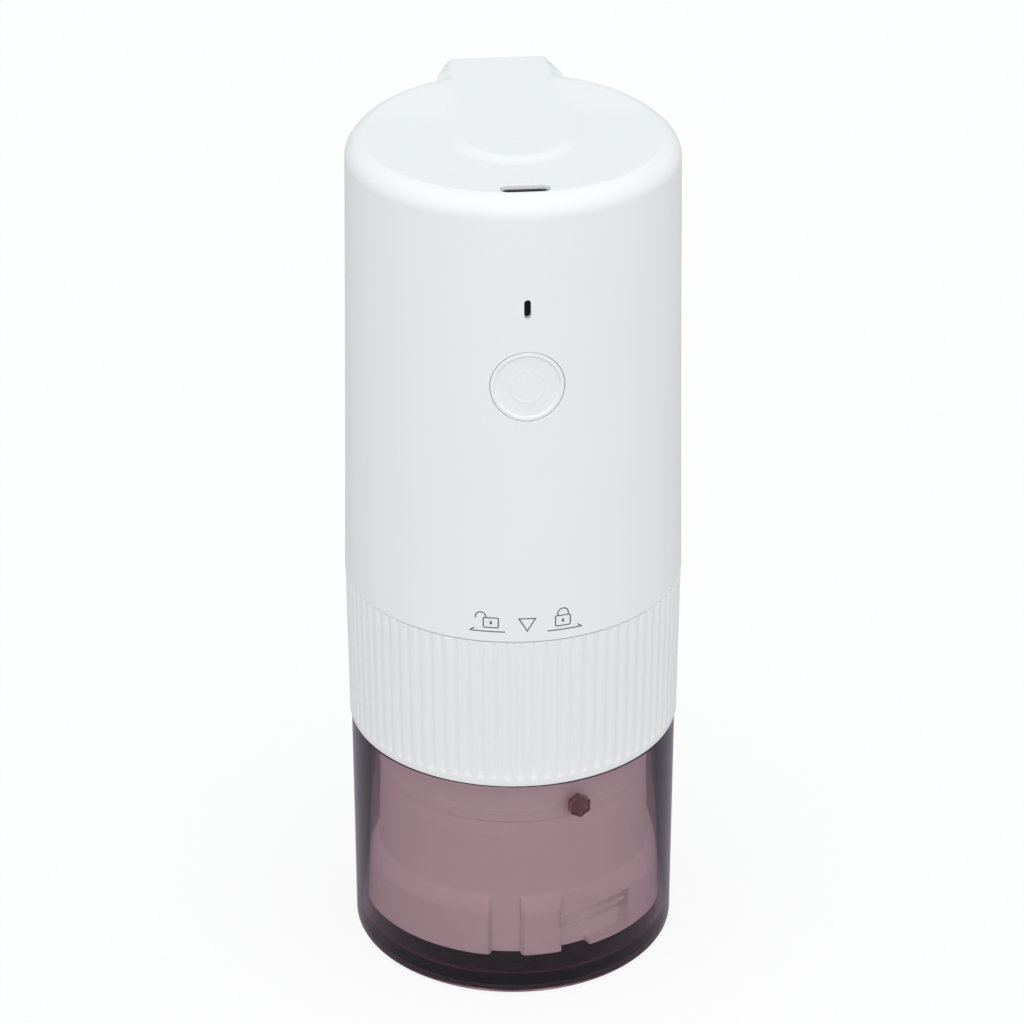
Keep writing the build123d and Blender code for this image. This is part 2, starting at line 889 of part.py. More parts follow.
def motor_can():
    body = rod(motor_radius, motor_z, motor_top_z) + rod(motor_boss_radius, motor_z - motor_boss_height, motor_z)
    edge = body.edges().filter_by(GeomType.CIRCLE).group_by(SortBy.RADIUS)[-1]
    body = fillet(edge, 1.0)
    for index in range(2):
        x, y = front_point(motor_radius, 90 + 180 * index)
        body -= Pos(x, y, motor_z + 7) * Rot(0, 90, 0) * Cylinder(2.4, 2.4)
    return body - rod(motor_shaft_radius + running_gap, motor_z - 3, motor_top_z + 1)


def motor_cap():
    high = motor_top_z + motor_cap_length
    body = turned(
        (motor_shaft_radius + running_gap, motor_top_z),
        (motor_cap_radius, motor_top_z),
        (motor_cap_radius, high - 1, 0.8),
        (4.0, high - 1),
        (4.0, high),
        (motor_shaft_radius + running_gap, high),
    )
    slot = block(terminal_width + 0.04, terminal_thickness + 0.04, high - 2.0, high + 1, y=-terminal_circle)
    return body - around(slot, 2, 90)


def motor_terminals():
    low = motor_top_z + motor_cap_length - 2.0
    tabs = Part()
    blade = block(terminal_width, terminal_thickness, low, low + terminal_height, y=-terminal_circle)
    for tab in around(blade, 2, 90):
        tabs += tab
    return tabs


def cell_places():
    return [(-cell_offset, 0), (cell_offset, 0)]


def chassis():
    body = tube(motor_radius + 0.2, chassis_radius, motor_z, cell_z)
    for index in range(3):
        x, y = front_point(ear_circle, 60 + 120 * index)
        body -= rod(screw_head_radius, motor_z - 1, cell_z + 1, x, y)
    lid = rod(chassis_radius - 1.5, chassis_top_z, chassis_top_z + chassis_thickness)
    lid -= block(board_width + 0.4, 20, chassis_top_z - 1, shell_top_z, y=-board_front_y + board_thickness - 9.8)
    lid -= rod(9.0, chassis_top_z - 1, shell_top_z)
    body += lid
    inner = chassis_radius - 1.5 - chassis_wall
    back = sector(inner, chassis_radius - 1.5, motor_z, chassis_top_z + 1, 180 - chassis_wall_angle,
                  180 + chassis_wall_angle)
    body += back
    post_y = -(board_front_y - board_thickness / 2)
    for way in (-1, 1):
        x = way * (board_width / 2 + 1.2)
        post = block(3.6, board_thickness + 2.4, motor_z, chassis_top_z + chassis_thickness, x, post_y)
        body += post
    slot = block(board_width + 0.3, board_thickness + 0.2, board_z, shell_top_z, y=post_y)
    return body - slot


def battery_cell(index):
    x, y = cell_places()[index]
    can = rod(cell_radius, cell_z, cell_z + cell_length, x, y)
    can = fillet(can.edges().filter_by(GeomType.CIRCLE), 0.6)
    return can + rod(cell_nub_radius, cell_z + cell_length, cell_top_z, x, y)


def cell_strip():
    return block(2 * cell_offset + strip_width, strip_width, cell_top_z, chassis_top_z)


def main_board():
    y = -(board_front_y - board_thickness / 2)
    return block(board_width, board_thickness, board_z, board_top_z, y=y)


def board_components():
    back = -(board_front_y - board_thickness)
    parts = Part()
    for width, depth, height, x, up in chip_sizes:
        parts += block(width, depth, board_z + up, board_z + up + height, x, back + depth / 2)
    return parts


def status_led():
    return block(2.0, 1.2, led_z - 1.0, led_z + 1.0, y=-(board_front_y + 0.6))


def light_pipe():
    face = Pos(0, led_z) * stadium(led_slot_width - 2 * pipe_gap, led_slot_height - 2 * pipe_gap)
    return front_prism(face, board_front_y + 1.5, shell_radius(led_z) - led_recess)


def usb_outline(grow):
    return Pos(0, -usb_y) * stadium(usb_width + 2 * grow, usb_thickness + 2 * grow)


def usb_slot():
    # Opening in the cap, a little larger than the receptacle that stands just below it
    lower = extrude(usb_outline(0.1), usb_sink + cap_thickness)
    mouth = extrude(Pos(0, -usb_y) * stadium(usb_slot_width, usb_slot_depth), usb_sink + 1)
    return Pos(0, 0, shell_top_z - cap_thickness - 1) * lower + Pos(0, 0, usb_top_z) * mouth


def usb_shell():
    low = usb_top_z - usb_length
    body = Pos(0, 0, low) * extrude(usb_outline(0), usb_length)
    return body - Pos(0, 0, low + 0.6) * extrude(usb_outline(-usb_wall), usb_length)


def usb_tongue():
    low = usb_top_z - usb_length + 0.6
    return block(6.7, 0.7, low, usb_top_z - 1.4, y=-usb_y)


def tact_switch():
    front = button_flange_y - button_flange_thickness - button_travel - switch_gap
    face = Pos(0, button_z) * Rectangle(switch_size, switch_size)
    hole = Pos(0, button_z) * Circle(plunger_radius + running_gap)
    depth = front - board_front_y
    body = front_prism(face, board_front_y, front)
    return body - front_prism(hole, front - depth * 0.7, front + 1)


def switch_plunger():
    back = button_flange_y - button_flange_thickness
    face = Pos(0, button_z) * Circle(plunger_radius)
    return front_prism(face, back - button_travel - switch_gap - 0.5, back)


def power_button():
    face = Pos(0, button_z) * Circle(button_radius)
    body = front_prism(face, button_flange_y - button_flange_thickness, shell_foot_radius)
    body = body & shell_solid()
    collar_face = Pos(0, button_z) * Circle(button_radius + button_flange)
    body += front_prism(collar_face, button_flange_y - button_flange_thickness, button_flange_y)
    low = shell_middle_radius - 2.0
    mouth = Pos(0, button_z) * Circle(dish_radius - dish_slope)
    wider = Pos(0, button_z) * Circle(dish_radius + dish_slope)
    pan = loft([Plane.XZ.offset(low) * mouth, Plane.XZ.offset(low + 4.0) * wider], ruled=True)
    return body - (pan - shell_solid(dish_depth))


def shell_solid(inset=0.0):
    side_top = shell_top_z - cap_drop
    side = ThreePointArc(
        (shell_foot_radius - inset, 0, shell_z),
        (shell_middle_radius - inset, 0, (shell_z + side_top) / 2),
        (shell_top_radius - inset, 0, side_top),
    )
    half = math.radians(90 - cap_crease) / 2
    centre = shell_top_radius - inset - cap_round
    mid = (centre + cap_round * math.cos(half), 0, side_top + cap_round * math.sin(half))
    edge = ThreePointArc(side @ 1, mid, (shell_top_radius - inset - cap_edge, 0, shell_top_z))
    rest = Polyline(edge @ 1, (0, 0, shell_top_z), (0, 0, shell_z), side @ 0)
    return revolve(make_face(side + edge + rest), Axis.Z)


def shell_hollow():
    side_top = shell_top_z - cap_thickness
    return turned(
        (0, shell_z - 1),
        (shell_foot_radius - shell_wall, shell_z - 1),
        (shell_foot_radius - shell_wall, shell_z + 3),
        (shell_middle_radius - shell_wall, (shell_z + side_top) / 2),
        (shell_top_radius - shell_wall, side_top, 1.6),
        (0, side_top),
    )


def tongue_outline(half, rear, rear_half, front_y, z):
    # U-shaped outline whose rear narrows to rear_half behind the wall of the shell
    wall_y = shell_top_radius - 1
    line = Polyline(
        (-half, tongue_arc_y, z),
        (-half, wall_y, z),
        (-rear_half, rear, z),
        (rear_half, rear, z),
        (half, wall_y, z),
        (half, tongue_arc_y, z),
    )
    arc = ThreePointArc(line @ 1, (0, front_y, z), line @ 0)
    return make_face(line + arc)


def tongue():
    top_front = tongue_arc_y - tongue_top_half
    base_front = top_front - tongue_front_run
    base = tongue_outline(tongue_base_half, tongue_rear - 0.4, lug_rear_half, base_front, shell_top_z)
    top = tongue_outline(
        tongue_top_half, tongue_rear, tongue_top_half - 0.1, top_front, shell_top_z + tongue_height
    )
    return loft([base, top], ruled=True)


def strap_lug():
    # Bracket under the tongue, from inside the wall to its rear, with a cord hole across it
    wall_y = shell_top_radius - cap_edge - 2.5
    low_z = shell_top_z - lug_depth
    profile = Polyline(
        (wall_y, shell_top_z),
        (tongue_rear - 0.4, shell_top_z),
        (tongue_rear - 1.2, shell_top_z - lug_depth + 5),
        (wall_y + 2, low_z),
        (wall_y, low_z),
        close=True,
    )
    side = make_face(profile)
    body = extrude(Plane.YZ * side, tongue_base_half + 5, both=True)
    outline = Polyline(
        (-tongue_base_half, wall_y),
        (-tongue_base_half, shell_top_radius - 1),
        (-lug_rear_half, tongue_rear),
        (lug_rear_half, tongue_rear),
        (tongue_base_half, shell_top_radius - 1),
        (tongue_base_half, wall_y),
        close=True,
    )
    body = body & (Pos(0, 0, low_z) * extrude(make_face(outline), lug_depth))
    hole_y = shell_top_radius + strap_hole_radius + 1.1
    hole_z = shell_top_z - strap_hole_drop
    length = 4 * tongue_base_half
    return body - Pos(0, hole_y, hole_z) * Rot(0, 90, 0) * Cylinder(strap_hole_radius, length)


def body_shell():
    body = shell_solid() + tongue() + strap_lug() - shell_hollow()
    boss_z = cover_top_z
    boss = rod(boss_radius, boss_z, boss_z + boss_height, y=-boss_circle)
    boss += block(3.0, 8.5, boss_z, boss_z + boss_height, y=-(boss_circle + 4.2))
    pilot = rod(screw_radius, boss_z - 1, boss_z + boss_height - 1.5, y=-boss_circle)
    trim = rod(shell_foot_radius - shell_wall + 0.4, boss_z - 1, boss_z + boss_height + 1)
    for copy in around((boss & trim) - pilot, 3):
        body += copy
    button_hole = Pos(0, button_z) * Circle(button_radius + button_hole_gap)
    body -= front_prism(button_hole, board_front_y, shell_foot_radius + 2)
    led_slot = Pos(0, led_z) * stadium(led_slot_width, led_slot_height)
    body -= front_prism(led_slot, board_front_y, shell_foot_radius + 2)
    return body - usb_slot()


pieces = {
    "cup": cup,
    "base_pad": base_pad,
    "cup_seal": cup_seal,
    "collar": collar,
    "hopper": hopper,
    "burr_housing": burr_housing,
    "ring_burr": ring_burr,
    "burr_clip": burr_clip,
    "upper_bush": upper_bush,
    "housing_screws": housing_screws,
    "adjuster_dial": adjuster_dial,
    "burr_carriage": burr_carriage,
    "lower_bush": lower_bush,
    "inner_burr": inner_burr,
    "burr_shaft": burr_shaft,
    "burr_nut": burr_nut,
    "shaft_clip": shaft_clip,
    "driven_dog": driven_dog,
    "hopper_seal": hopper_seal,
    "body_shell": body_shell,
    "bottom_cover": bottom_cover,
    "cover_screws": cover_screws,
    "gearbox_base": gearbox_base,
    "ring_gear": ring_gear,
    "motor_plate": motor_plate,
    "gearbox_screws": gearbox_screws,
    "output_bearing": output_bearing,
    "output_shaft": output_shaft,
    "planet_carrier": planet_carrier,
    "drive_dog": drive_dog,
    "sun_pinion": sun_pinion,
    "motor_shaft": motor_shaft,
    "motor_can": motor_can,
    "motor_cap": motor_cap,
    "motor_terminals": motor_terminals,
    "chassis": chassis,
    "cell_strip": cell_strip,
    "main_board": main_board,
    "board_components": board_components,
    "status_led": status_led,
    "light_pipe": light_pipe,
    "usb_shell": usb_shell,
    "usb_tongue": usb_tongue,
    "tact_switch": tact_switch,
    "switch_plunger": switch_plunger,
    "power_button": power_button,
}
for number in range(planet_count):
    pieces[f"planet_gear_{number + 1}"] = lambda index=number: planet_gear(index)
for number, side in enumerate(("left", "right")):
    pieces[f"battery_cell_{side}"] = lambda index=number: battery_cell(index)

os.makedirs("parts", exist_ok=True)
for name, make in pieces.items():
    export_step(make(), f"parts/{name}.step")
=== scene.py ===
import bpy
import bmesh
import json
import math
import numpy as np
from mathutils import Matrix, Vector


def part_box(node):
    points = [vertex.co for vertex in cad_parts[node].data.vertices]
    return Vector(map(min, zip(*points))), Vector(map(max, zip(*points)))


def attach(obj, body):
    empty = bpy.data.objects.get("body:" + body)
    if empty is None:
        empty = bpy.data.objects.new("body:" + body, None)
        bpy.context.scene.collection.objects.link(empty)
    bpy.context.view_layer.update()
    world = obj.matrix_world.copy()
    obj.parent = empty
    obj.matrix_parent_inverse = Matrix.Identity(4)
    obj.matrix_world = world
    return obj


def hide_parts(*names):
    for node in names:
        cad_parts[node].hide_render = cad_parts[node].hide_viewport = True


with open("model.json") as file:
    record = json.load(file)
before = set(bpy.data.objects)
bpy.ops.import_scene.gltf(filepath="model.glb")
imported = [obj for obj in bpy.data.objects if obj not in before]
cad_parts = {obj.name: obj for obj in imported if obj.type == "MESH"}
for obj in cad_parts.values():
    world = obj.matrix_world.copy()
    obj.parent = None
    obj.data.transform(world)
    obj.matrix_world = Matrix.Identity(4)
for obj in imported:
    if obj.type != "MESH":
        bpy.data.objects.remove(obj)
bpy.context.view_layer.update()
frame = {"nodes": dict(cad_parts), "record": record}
mm = 0.001
white, black = (1.0, 1.0, 1.0, 1.0), (0.0, 0.0, 0.0, 1.0)
print("frame loaded:", len(frame["nodes"]), "nodes")


def corners(name):
    # lowest and highest corner of a CAD node, in millimetres
    low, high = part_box(name)
    return np.array(low) / mm, np.array(high) / mm


class Wire:
    # wraps one socket, so that shader maths reads as sums
    def __init__(self, tree, socket=None):
        self.tree = tree
        self.socket = socket

    def node(self, kind, settings=None, inputs=None, output=0):
        # any node: its settings first, then the values or links of its sockets
        made = self.tree.nodes.new(kind)
        for key, value in (settings or {}).items():
            setattr(made, key, value)
        for key, value in (inputs or {}).items():
            if isinstance(value, Wire):
                self.tree.links.new(value.socket, made.inputs[key])
            else:
                made.inputs[key].default_value = value
        return Wire(self.tree, made.outputs[output])

    def maths(self, operation, first, second=0.0):
        # one Math node
        return self.node("ShaderNodeMath", {"operation": operation}, {0: first, 1: second})

    def __add__(self, other):
        return self.maths("ADD", self, other)

    def __radd__(self, other):
        return self.maths("ADD", other, self)

    def __mul__(self, other):
        return self.maths("MULTIPLY", self, other)

    def __rmul__(self, other):
        return self.maths("MULTIPLY", other, self)

    def __gt__(self, other):
        return self.maths("GREATER_THAN", self, other)

    def __lt__(self, other):
        return self.maths("LESS_THAN", self, other)

    def part(self, axis):
        # one number of a vector: 0, 1 or 2 for x, y or z
        return self.node("ShaderNodeSeparateXYZ", {}, {0: self}, axis)

    def scaled(self, x, y, z):
        # the vector with each axis stretched by its own factor
        return self.node("ShaderNodeVectorMath", {"operation": "MULTIPLY"}, {0: self, 1: (x, y, z)})

    def blend(self, first, second):
        # colour that goes from first to second as this value goes from 0 to 1
        return self.node("ShaderNodeMix", {"data_type": "RGBA"}, {0: self, 6: first, 7: second}, 2)

    def noise(self, place, scale, detail=2.0):
        # noise over the place, with its scale per metre
        return self.node("ShaderNodeTexNoise", {}, {"Vector": place, "Scale": scale, "Detail": detail})

    def ray(self, kind):
        # 1 for the rays of a kind and 0 for others, or a count of their bounces
        return self.node("ShaderNodeLightPath", output=kind)

    def bump(self, height, depth):
        # depth is the height in metres that a height value of 1 stands for
        return self.node("ShaderNodeBump", {}, {"Height": height, "Distance": depth})


def srgb(red, green, blue):
    # a colour written as 0 to 255 display values, made linear
    shares = [value / 255 for value in (red, green, blue)]
    linear = [s / 12.92 if s <= 0.04045 else ((s + 0.055) / 1.055) ** 2.4 for s in shares]
    return (*linear, 1.0)


def newMaterial(name):
    # an empty material, a wire to add its nodes with, and the place on the piece
    material = bpy.data.materials.new(name)
    material.use_nodes = True
    material.node_tree.nodes.clear()
    wire = Wire(material.node_tree)
    return material, wire, wire.node("ShaderNodeTexCoord", output="Object")


def output(tree, kind, surface, volume=None):
    # the tree's closing node
    out = tree.nodes.new(kind)
    tree.links.new(surface.socket, out.inputs["Surface"])
    if volume:
        tree.links.new(volume.socket, out.inputs["Volume"])


def finished(maker, name, look):
    # a material of the sockets that the maker returns, one of which may be the volume
    material, wire, place = newMaterial(name)
    sockets = maker(wire, place, look)
    volume = sockets.pop("Volume", None)
    shader = wire.node("ShaderNodeBsdfPrincipled", {}, sockets)
    output(wire.tree, "ShaderNodeOutputMaterial", shader, volume)
    return material


def roundAxis(place):
    # distance from the main axis: sqrt(x^2 + y^2)
    across, along = place.part(0), place.part(1)
    total = across * across + along * along
    return total.maths("SQRT", total)


def moulded(wire, place, look):
    # plastic or rubber: a fine grain as bump and gloss, and a slower drift of tone
    grain = wire.noise(place, look["grain"])
    drift = wire.noise(place, look["drift"], look["detail"])
    return {
        "Base Color": drift.blend(look["colour"], look["shade"]),
        "Roughness": look["gloss"] + look["span"] * grain,
        "Specular IOR Level": look["shine"],
        "Normal": wire.bump(grain, look["depth"]),
    }


def tintedPlastic(wire, place, look):
    # clear polished plastic whose tint deepens with the length of the path through it
    ripple = wire.noise(place, 60.0, 1.0)
    depth = wire.node("ShaderNodeVolumeAbsorption", {}, {"Color": look["tint"], "Density": look["density"]})
    return {
        "Base Color": white,
        "Roughness": 0.02,
        "IOR": 1.49,
        "Transmission Weight": 1.0,
        "Normal": wire.bump(ripple, 0.000004),
        "Volume": depth,
    }


def turnedMetal(wire, place, look):
    # metal with tool marks round the main axis: noise over (radius, height) only, so that it runs in rings
    ring = wire.node("ShaderNodeCombineXYZ", {}, {0: roundAxis(place), 1: place.part(2), 2: 0.0})
    marks = wire.noise(ring, look["marks"], 3.0)
    stain = wire.noise(place, 150.0)
    return {
        "Base Color": stain.blend(look["colour"], look["shade"]),
        "Metallic": 1.0,
        "Roughness": look["gloss"] + 0.2 * marks,
        "Normal": wire.bump(marks, look["depth"]),
    }


def sinteredMetal(wire, place, look):
    # pressed powder metal: pores as small pits, their darker colour painted shade
    pores = wire.node("ShaderNodeTexVoronoi", {}, {"Vector": place, "Scale": look["pores"]})
    pit = pores < 0.25
    return {
        "Base Color": pit.blend(look["colour"], look["shade"]),
        "Metallic": 1.0,
        "Roughness": look["gloss"] + 0.2 * pit,
        "Normal": wire.bump(pores, 0.00002),
    }


def cellSleeve(wire, place, look):
    # shrink sleeve over a cell can: bare metal above the sleeve's end and inside its lip
    wrinkle = wire.noise(place.scaled(1.0, 1.0, 0.2), 260.0, 3.0)
    bare = place.part(2) > look["sleeveTop"]
    return {
        "Base Color": bare.blend(look["colour"], look["metal"]),
        "Metallic": bare,
        "Roughness": 0.22 + 0.15 * wrinkle,
        "Normal": wire.bump(wrinkle, 0.00006),
    }


def circuitBoard(wire, place, look):
    # solder mask over copper tracks: a grid of lines and pads shows through as a paler green
    tracks = wire.node("ShaderNodeTexBrick", {"offset": 0.37, "squash": 1.4}, {
        "Vector": wire.node("ShaderNodeCombineXYZ", {}, {0: place.part(2), 1: place.part(0), 2: 0.0}),
        "Color1": black,
        "Color2": black,
        "Mortar": white,
        "Scale": 420.0,
        "Mortar Size": 0.012,
    }, "Color")
    dots = wire.node("ShaderNodeTexVoronoi", {}, {"Vector": place, "Scale": 380.0})
    pads = dots < 0.16
    mask = tracks.blend(look["colour"], look["track"])
    return {
        "Base Color": pads.blend(mask, look["pad"]),
        "Roughness": 0.3 + 0.15 * pads,
        "Metallic": pads,
        "Normal": wire.bump(tracks.part(0), 0.00003),
    }


cellTop = corners("battery_cell_left")[1][2] * mm
plastic = {"drift": 45.0, "detail": 1.0, "span": 0.12}
rubber = {
    "grain": 900.0, "drift": 120.0, "detail": 3.0, "gloss": 0.62, "span": 0.08, "shine": 0.5, "depth": 4e-6}
frosted = {"grain": 1500.0, "drift": 1500.0, "detail": 2.0, "span": 0.1, "depth": 5e-6}

# each maker, the settings that its finishes share, the names of the others, and each slot's name and values
finishTable = [
    (moulded, plastic, ("colour", "shade", "grain", "depth", "gloss", "shine"), {
        "white_plastic": ("white shell plastic", (241, 243, 244), (238, 240, 241), 3200.0, 6e-6, 0.42, 0.3),
        "collar_plastic": ("white collar plastic", (240, 241, 241), (237, 238, 238), 3000.0, 5e-6, 0.4, 0.3),
        "dial_plastic": ("dial plastic", (222, 223, 225), (214, 215, 218), 2600.0, 6e-6, 0.42, 0.5),
        "gear_nylon": ("gear nylon", (228, 223, 208), (218, 212, 194), 1400.0, 4e-6, 0.4, 0.5),
        "black_plastic": ("black nylon", (38, 38, 40), (46, 46, 48), 1800.0, 1e-5, 0.45, 0.5),
        "chassis_plastic": ("chassis plastic", (86, 87, 90), (78, 79, 82), 1600.0, 1e-5, 0.48, 0.5),
        "chip_black": ("chip moulding", (40, 40, 42), (48, 48, 50), 2400.0, 8e-6, 0.5, 0.5),
        "switch_grey": ("switch moulding", (112, 112, 116), (104, 104, 108), 2400.0, 6e-6, 0.42, 0.5),
        "ink": ("printing ink", (96, 93, 102), (106, 103, 112), 2600.0, 2e-6, 0.5, 0.5),
    }),
    (turnedMetal, {}, ("colour", "shade", "marks", "depth", "gloss"), {
        "burr_steel": ("burr steel", (190, 191, 194), (172, 173, 177), 1800.0, 1e-5, 0.26),
        "shaft_steel": ("shaft steel", (200, 201, 203), (188, 189, 192), 2600.0, 4e-6, 0.16),
        "screw_steel": ("screw steel", (176, 178, 182), (160, 161, 158), 2200.0, 6e-6, 0.24),
        "motor_steel": ("motor can steel", (194, 195, 197), (180, 181, 184), 900.0, 4e-6, 0.3),
        "nickel": ("nickel", (205, 203, 196), (190, 187, 179), 1200.0, 4e-6, 0.22),
        "brass": ("brass", (208, 182, 120), (188, 160, 98), 1500.0, 4e-6, 0.24),
    }),
    (sinteredMetal, {}, ("colour", "shade", "pores", "gloss"), {
        "bush_bronze": ("bush bronze", (186, 150, 96), (112, 84, 50), 2600.0, 0.34),
        "gear_steel": ("gear steel", (166, 167, 170), (94, 94, 97), 2200.0, 0.36),
    }),
    (moulded, rubber, ("colour", "shade"), {
        # a real foot pad, whose near-black colour and reach under the cup's corner paint the shade at the
        # cup's base
        "foot_silicone": ("foot silicone", (20, 18, 22), (27, 25, 29)),
        "seal_silicone": ("seal silicone", (196, 197, 198), (186, 187, 189)),
    }),
    (moulded, frosted, ("colour", "shade", "gloss", "shine"), {
        "led_lens": ("light lens", (236, 236, 228), (226, 226, 216), 0.12, 0.5),
        # the light pipe's near-black colour is painted shade in its narrow slot
        "pipe_smoke": ("smoked light pipe", (14, 14, 15), (20, 20, 22), 0.25, 0.15),
    }),
    (cellSleeve, {}, ("colour", "metal", "sleeveTop"), {
        "cell_wrap": ("cell sleeve", (52, 120, 158), (205, 204, 200), cellTop - 0.0008),
    }),
    (circuitBoard, {}, ("colour", "track", "pad"), {
        "board_green": ("board mask", (34, 98, 62), (58, 130, 82), (206, 190, 140)),
    }),
]
cupTint = {"tint": (0.77, 0.36, 0.45, 1.0), "density": 300.0}
finishes = {"tinted_plastic": finished(tintedPlastic, "smoky cup plastic", cupTint)}
for maker, shared, keys, rows in finishTable:
    for slot, (name, *values) in rows.items():
        values = [srgb(*value) if isinstance(value, tuple) else value for value in values]
        finishes[slot] = finished(maker, name, {**shared, **dict(zip(keys, values))})
slots = {entry["node"]: entry["material_slot"] for entry in frame["record"]["subparts"]}
for name, thing in frame["nodes"].items():
    thing.data.materials.clear()
    thing.data.materials.append(finishes[slots[name]])
print("finishes:", len(finishes))


def grid(x, y, z):
    # one array of points from three that broadcast
    return np.stack(np.broadcast_arrays(x, y, z), -1)


def skin(points, loopRows=False):
    # a grid of points with the quads between them: its columns close into a loop, and its rows do where asked
    rows, columns = points.shape[:2]
    row = np.arange(rows if loopRows else rows - 1)[:, None]
    column = np.arange(columns)[None, :]
    here, above = row * columns, (row + 1) % rows * columns
    beside = (column + 1) % columns
    quads = [here + column, here + beside, above + beside, above + column]
    return points, np.stack(np.broadcast_arrays(*quads), -1).reshape(-1, 4)


def meshOf(name, parts, angle=35.0):
    # joins skins in millimetres into one closed smooth-shaded mesh with outward normals
    shape = bmesh.new()
    for points, faces in parts:
        mesh = bpy.data.meshes.new(name)
        mesh.from_pydata((points.reshape(-1, 3) * mm).tolist(), [], faces.tolist())
        single = bmesh.new()
        single.from_mesh(mesh)
        bmesh.ops.remove_doubles(single, verts=single.verts, dist=1e-8)
        bmesh.ops.dissolve_degenerate(single, edges=single.edges, dist=1e-9)
        if single.calc_volume(signed=True) < 0:
            bmesh.ops.reverse_faces(single, faces=single.faces)
        single.to_mesh(mesh)
        single.free()
        shape.from_mesh(mesh)
        bpy.data.meshes.remove(mesh)
    mesh = bpy.data.meshes.new(name)
    shape.to_mesh(mesh)
    shape.free()
    shade(mesh, angle)
    return mesh


def shade(mesh, angle):
    # smooth shading, with edges sharper than the angle left sharp
    mesh.polygons.foreach_set("use_smooth", np.ones(len(mesh.polygons), bool))
    mesh.set_sharp_from_angle(angle=math.radians(angle))
    mesh.update()


def placed(name, data):
    # a new object at the origin, linked to the scene
    thing = bpy.data.objects.new(name, data)
    bpy.context.scene.collection.objects.link(thing)
    return thing


def addPiece(name, mesh, body, slot, stands=(), finish=None):
    # a visual piece on a body, in its slot's finish or the one given, in place of the nodes it stands for
    mesh.materials.append(finish or finishes[slot])
    piece = placed(name, mesh)
    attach(piece, body)
    if stands:
        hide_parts(*stands)
    print("piece:", name, len(mesh.polygons), "faces")
    return piece


def carve(mesh, cutters, operation="DIFFERENCE"):
    # one exact boolean of the mesh with the cutters' meshes joined, as a new mesh
    base, tool = placed("carved", mesh), placed("cutter", cutters)
    step = base.modifiers.new("carve", "BOOLEAN")
    step.operation = operation
    step.solver = "EXACT"
    step.use_self = True
    step.object = tool
    bpy.context.view_layer.update()
    carved = bpy.data.meshes.new_from_object(base.evaluated_get(bpy.context.evaluated_depsgraph_get()))
    for thing in (base, tool):
        bpy.data.objects.remove(thing)
    return carved


def unit(vectors):
    # each row made one long
    return vectors / np.linalg.norm(vectors, axis=1)[:, None]


def roundedOutline(bends, steps=5, closed=True):
    # points through (x, y, rounding) bends: each rounding is an arc tangent to both sides of its bend
    bends = np.array(bends, float)
    befores, afters = np.roll(bends, 1, 0), np.roll(bends, -1, 0)
    points = []
    for number, (before, bend, after) in enumerate(zip(befores, bends, afters)):
        spot, rounding = bend[:2], bend[2]
        if rounding == 0 or (not closed and number in (0, len(bends) - 1)):
            points.append(spot[None])
            continue
        first, last = unit(np.stack([before, after])[:, :2] - spot)
        half = math.acos(np.clip(first @ last, -1, 1)) / 2
        middle = (first + last) / np.linalg.norm(first + last) * rounding / math.sin(half)
        start, end = (way * rounding / math.tan(half) - middle for way in (first, last))
        turn = math.pi - 2 * half
        share = np.linspace(0, 1, steps + 1)[:, None]
        arc = (np.sin((1 - share) * turn) * start + np.sin(share * turn) * end) / math.sin(turn)
        points.append(spot + middle + arc)
    return np.concatenate(points)


def around(radius, turn, height):
    # points (r sin a, -r cos a, z): the turn a is counted from the front
    return grid(radius * np.sin(turn), -radius * np.cos(turn), height)


def turned(profile, count):
    # a profile of (r, z) points turned round the axis
    turn = np.linspace(0, 2 * math.pi, count, endpoint=False)[None, :]
    return skin(around(profile[:, :1], turn, profile[:, 1:]), profile[0, 0] > 0)


def smooth(value):
    # 0 below 0, 1 above 1, and 3 v^2 - 2 v^3 between
    value = np.clip(value, 0, 1)
    return value * value * (3 - 2 * value)


def window(value, low, high, soft, softHigh=None):
    # 1 between low and high, fading to 0 over the soft widths outside them
    return smooth((value - low) / soft + 1) * smooth((high - value) / (softHigh or soft) + 1)


def finer(points, step):
    # adds points along the straight runs of an open path, so that none is longer than step
    lengths = np.linalg.norm(np.diff(points, axis=0), axis=1)
    counts = np.maximum(1, np.ceil(lengths / step).astype(int))
    runs = [
        np.linspace(start, end, count, endpoint=False)
        for start, end, count in zip(points[:-1], points[1:], counts)]
    return np.concatenate(runs + [points[-1:]])


shellLow, shellHigh = corners("body_shell")
buttonLow, buttonHigh = corners("power_button")
pipeLow, pipeHigh = corners("light_pipe")
usbLow, usbHigh = corners("usb_shell")

shellShape = {
    "middleIn": 1.0,  # how far the waist is inside the foot's radius
    "topIn": 1.85,
    "wall": 2.2,
    "capWall": 2.4,
    "capEdge": 3.7,  # width of the rounded edge, seen from above
    "crease": 12.0,  # angle between the rounded edge and the flat cap
    "rearLift": 1.05,  # how much higher the cap's rear edge is than its front
    "liftFrom": 8.0,  # where the lift starts and how far it takes
    "liftRun": 22.0,
    "tongueRise": 1.15,
    "tongueSink": 0.45,  # how much lower the tongue's front is than its rear
    "tongueTopHalf": 10.2,
    "tongueBaseHalf": 13.4,
    "tongueArcY": -3.0,
    "tongueRun": 3.4,
    "lugRearHalf": 11.4,
    "lugDepth": 11.0,
    "lugLean": (1.2, 5.0),  # how far the lug's foot is inside the rear, and over what height it leans out
    "lugInside": (33.6, 30.5),  # radii inside the wall to which the lug's front is drawn back, low and high
    "cordHole": 1.5,
    "cordHoleDrop": 4.4,
    "cordHoleOut": 1.1,  # from the side to the hole's edge
    "ledSlot": (1.42, 4.28),
    "usbSlot": (10.2, 3.5),
    "buttonGap": 0.13,
    "mouthRound": 0.18,
    "buttonRadius": 7.65,
    "holeDepth": 7.0,
    "usbDepth": 6.0,
    "softness": 0.5,  # share of the tongue's slope that is an S curve
}
footRadius = shellHigh[0]
footZ = shellLow[2]
capZ = shellHigh[2] - shellShape["tongueRise"]
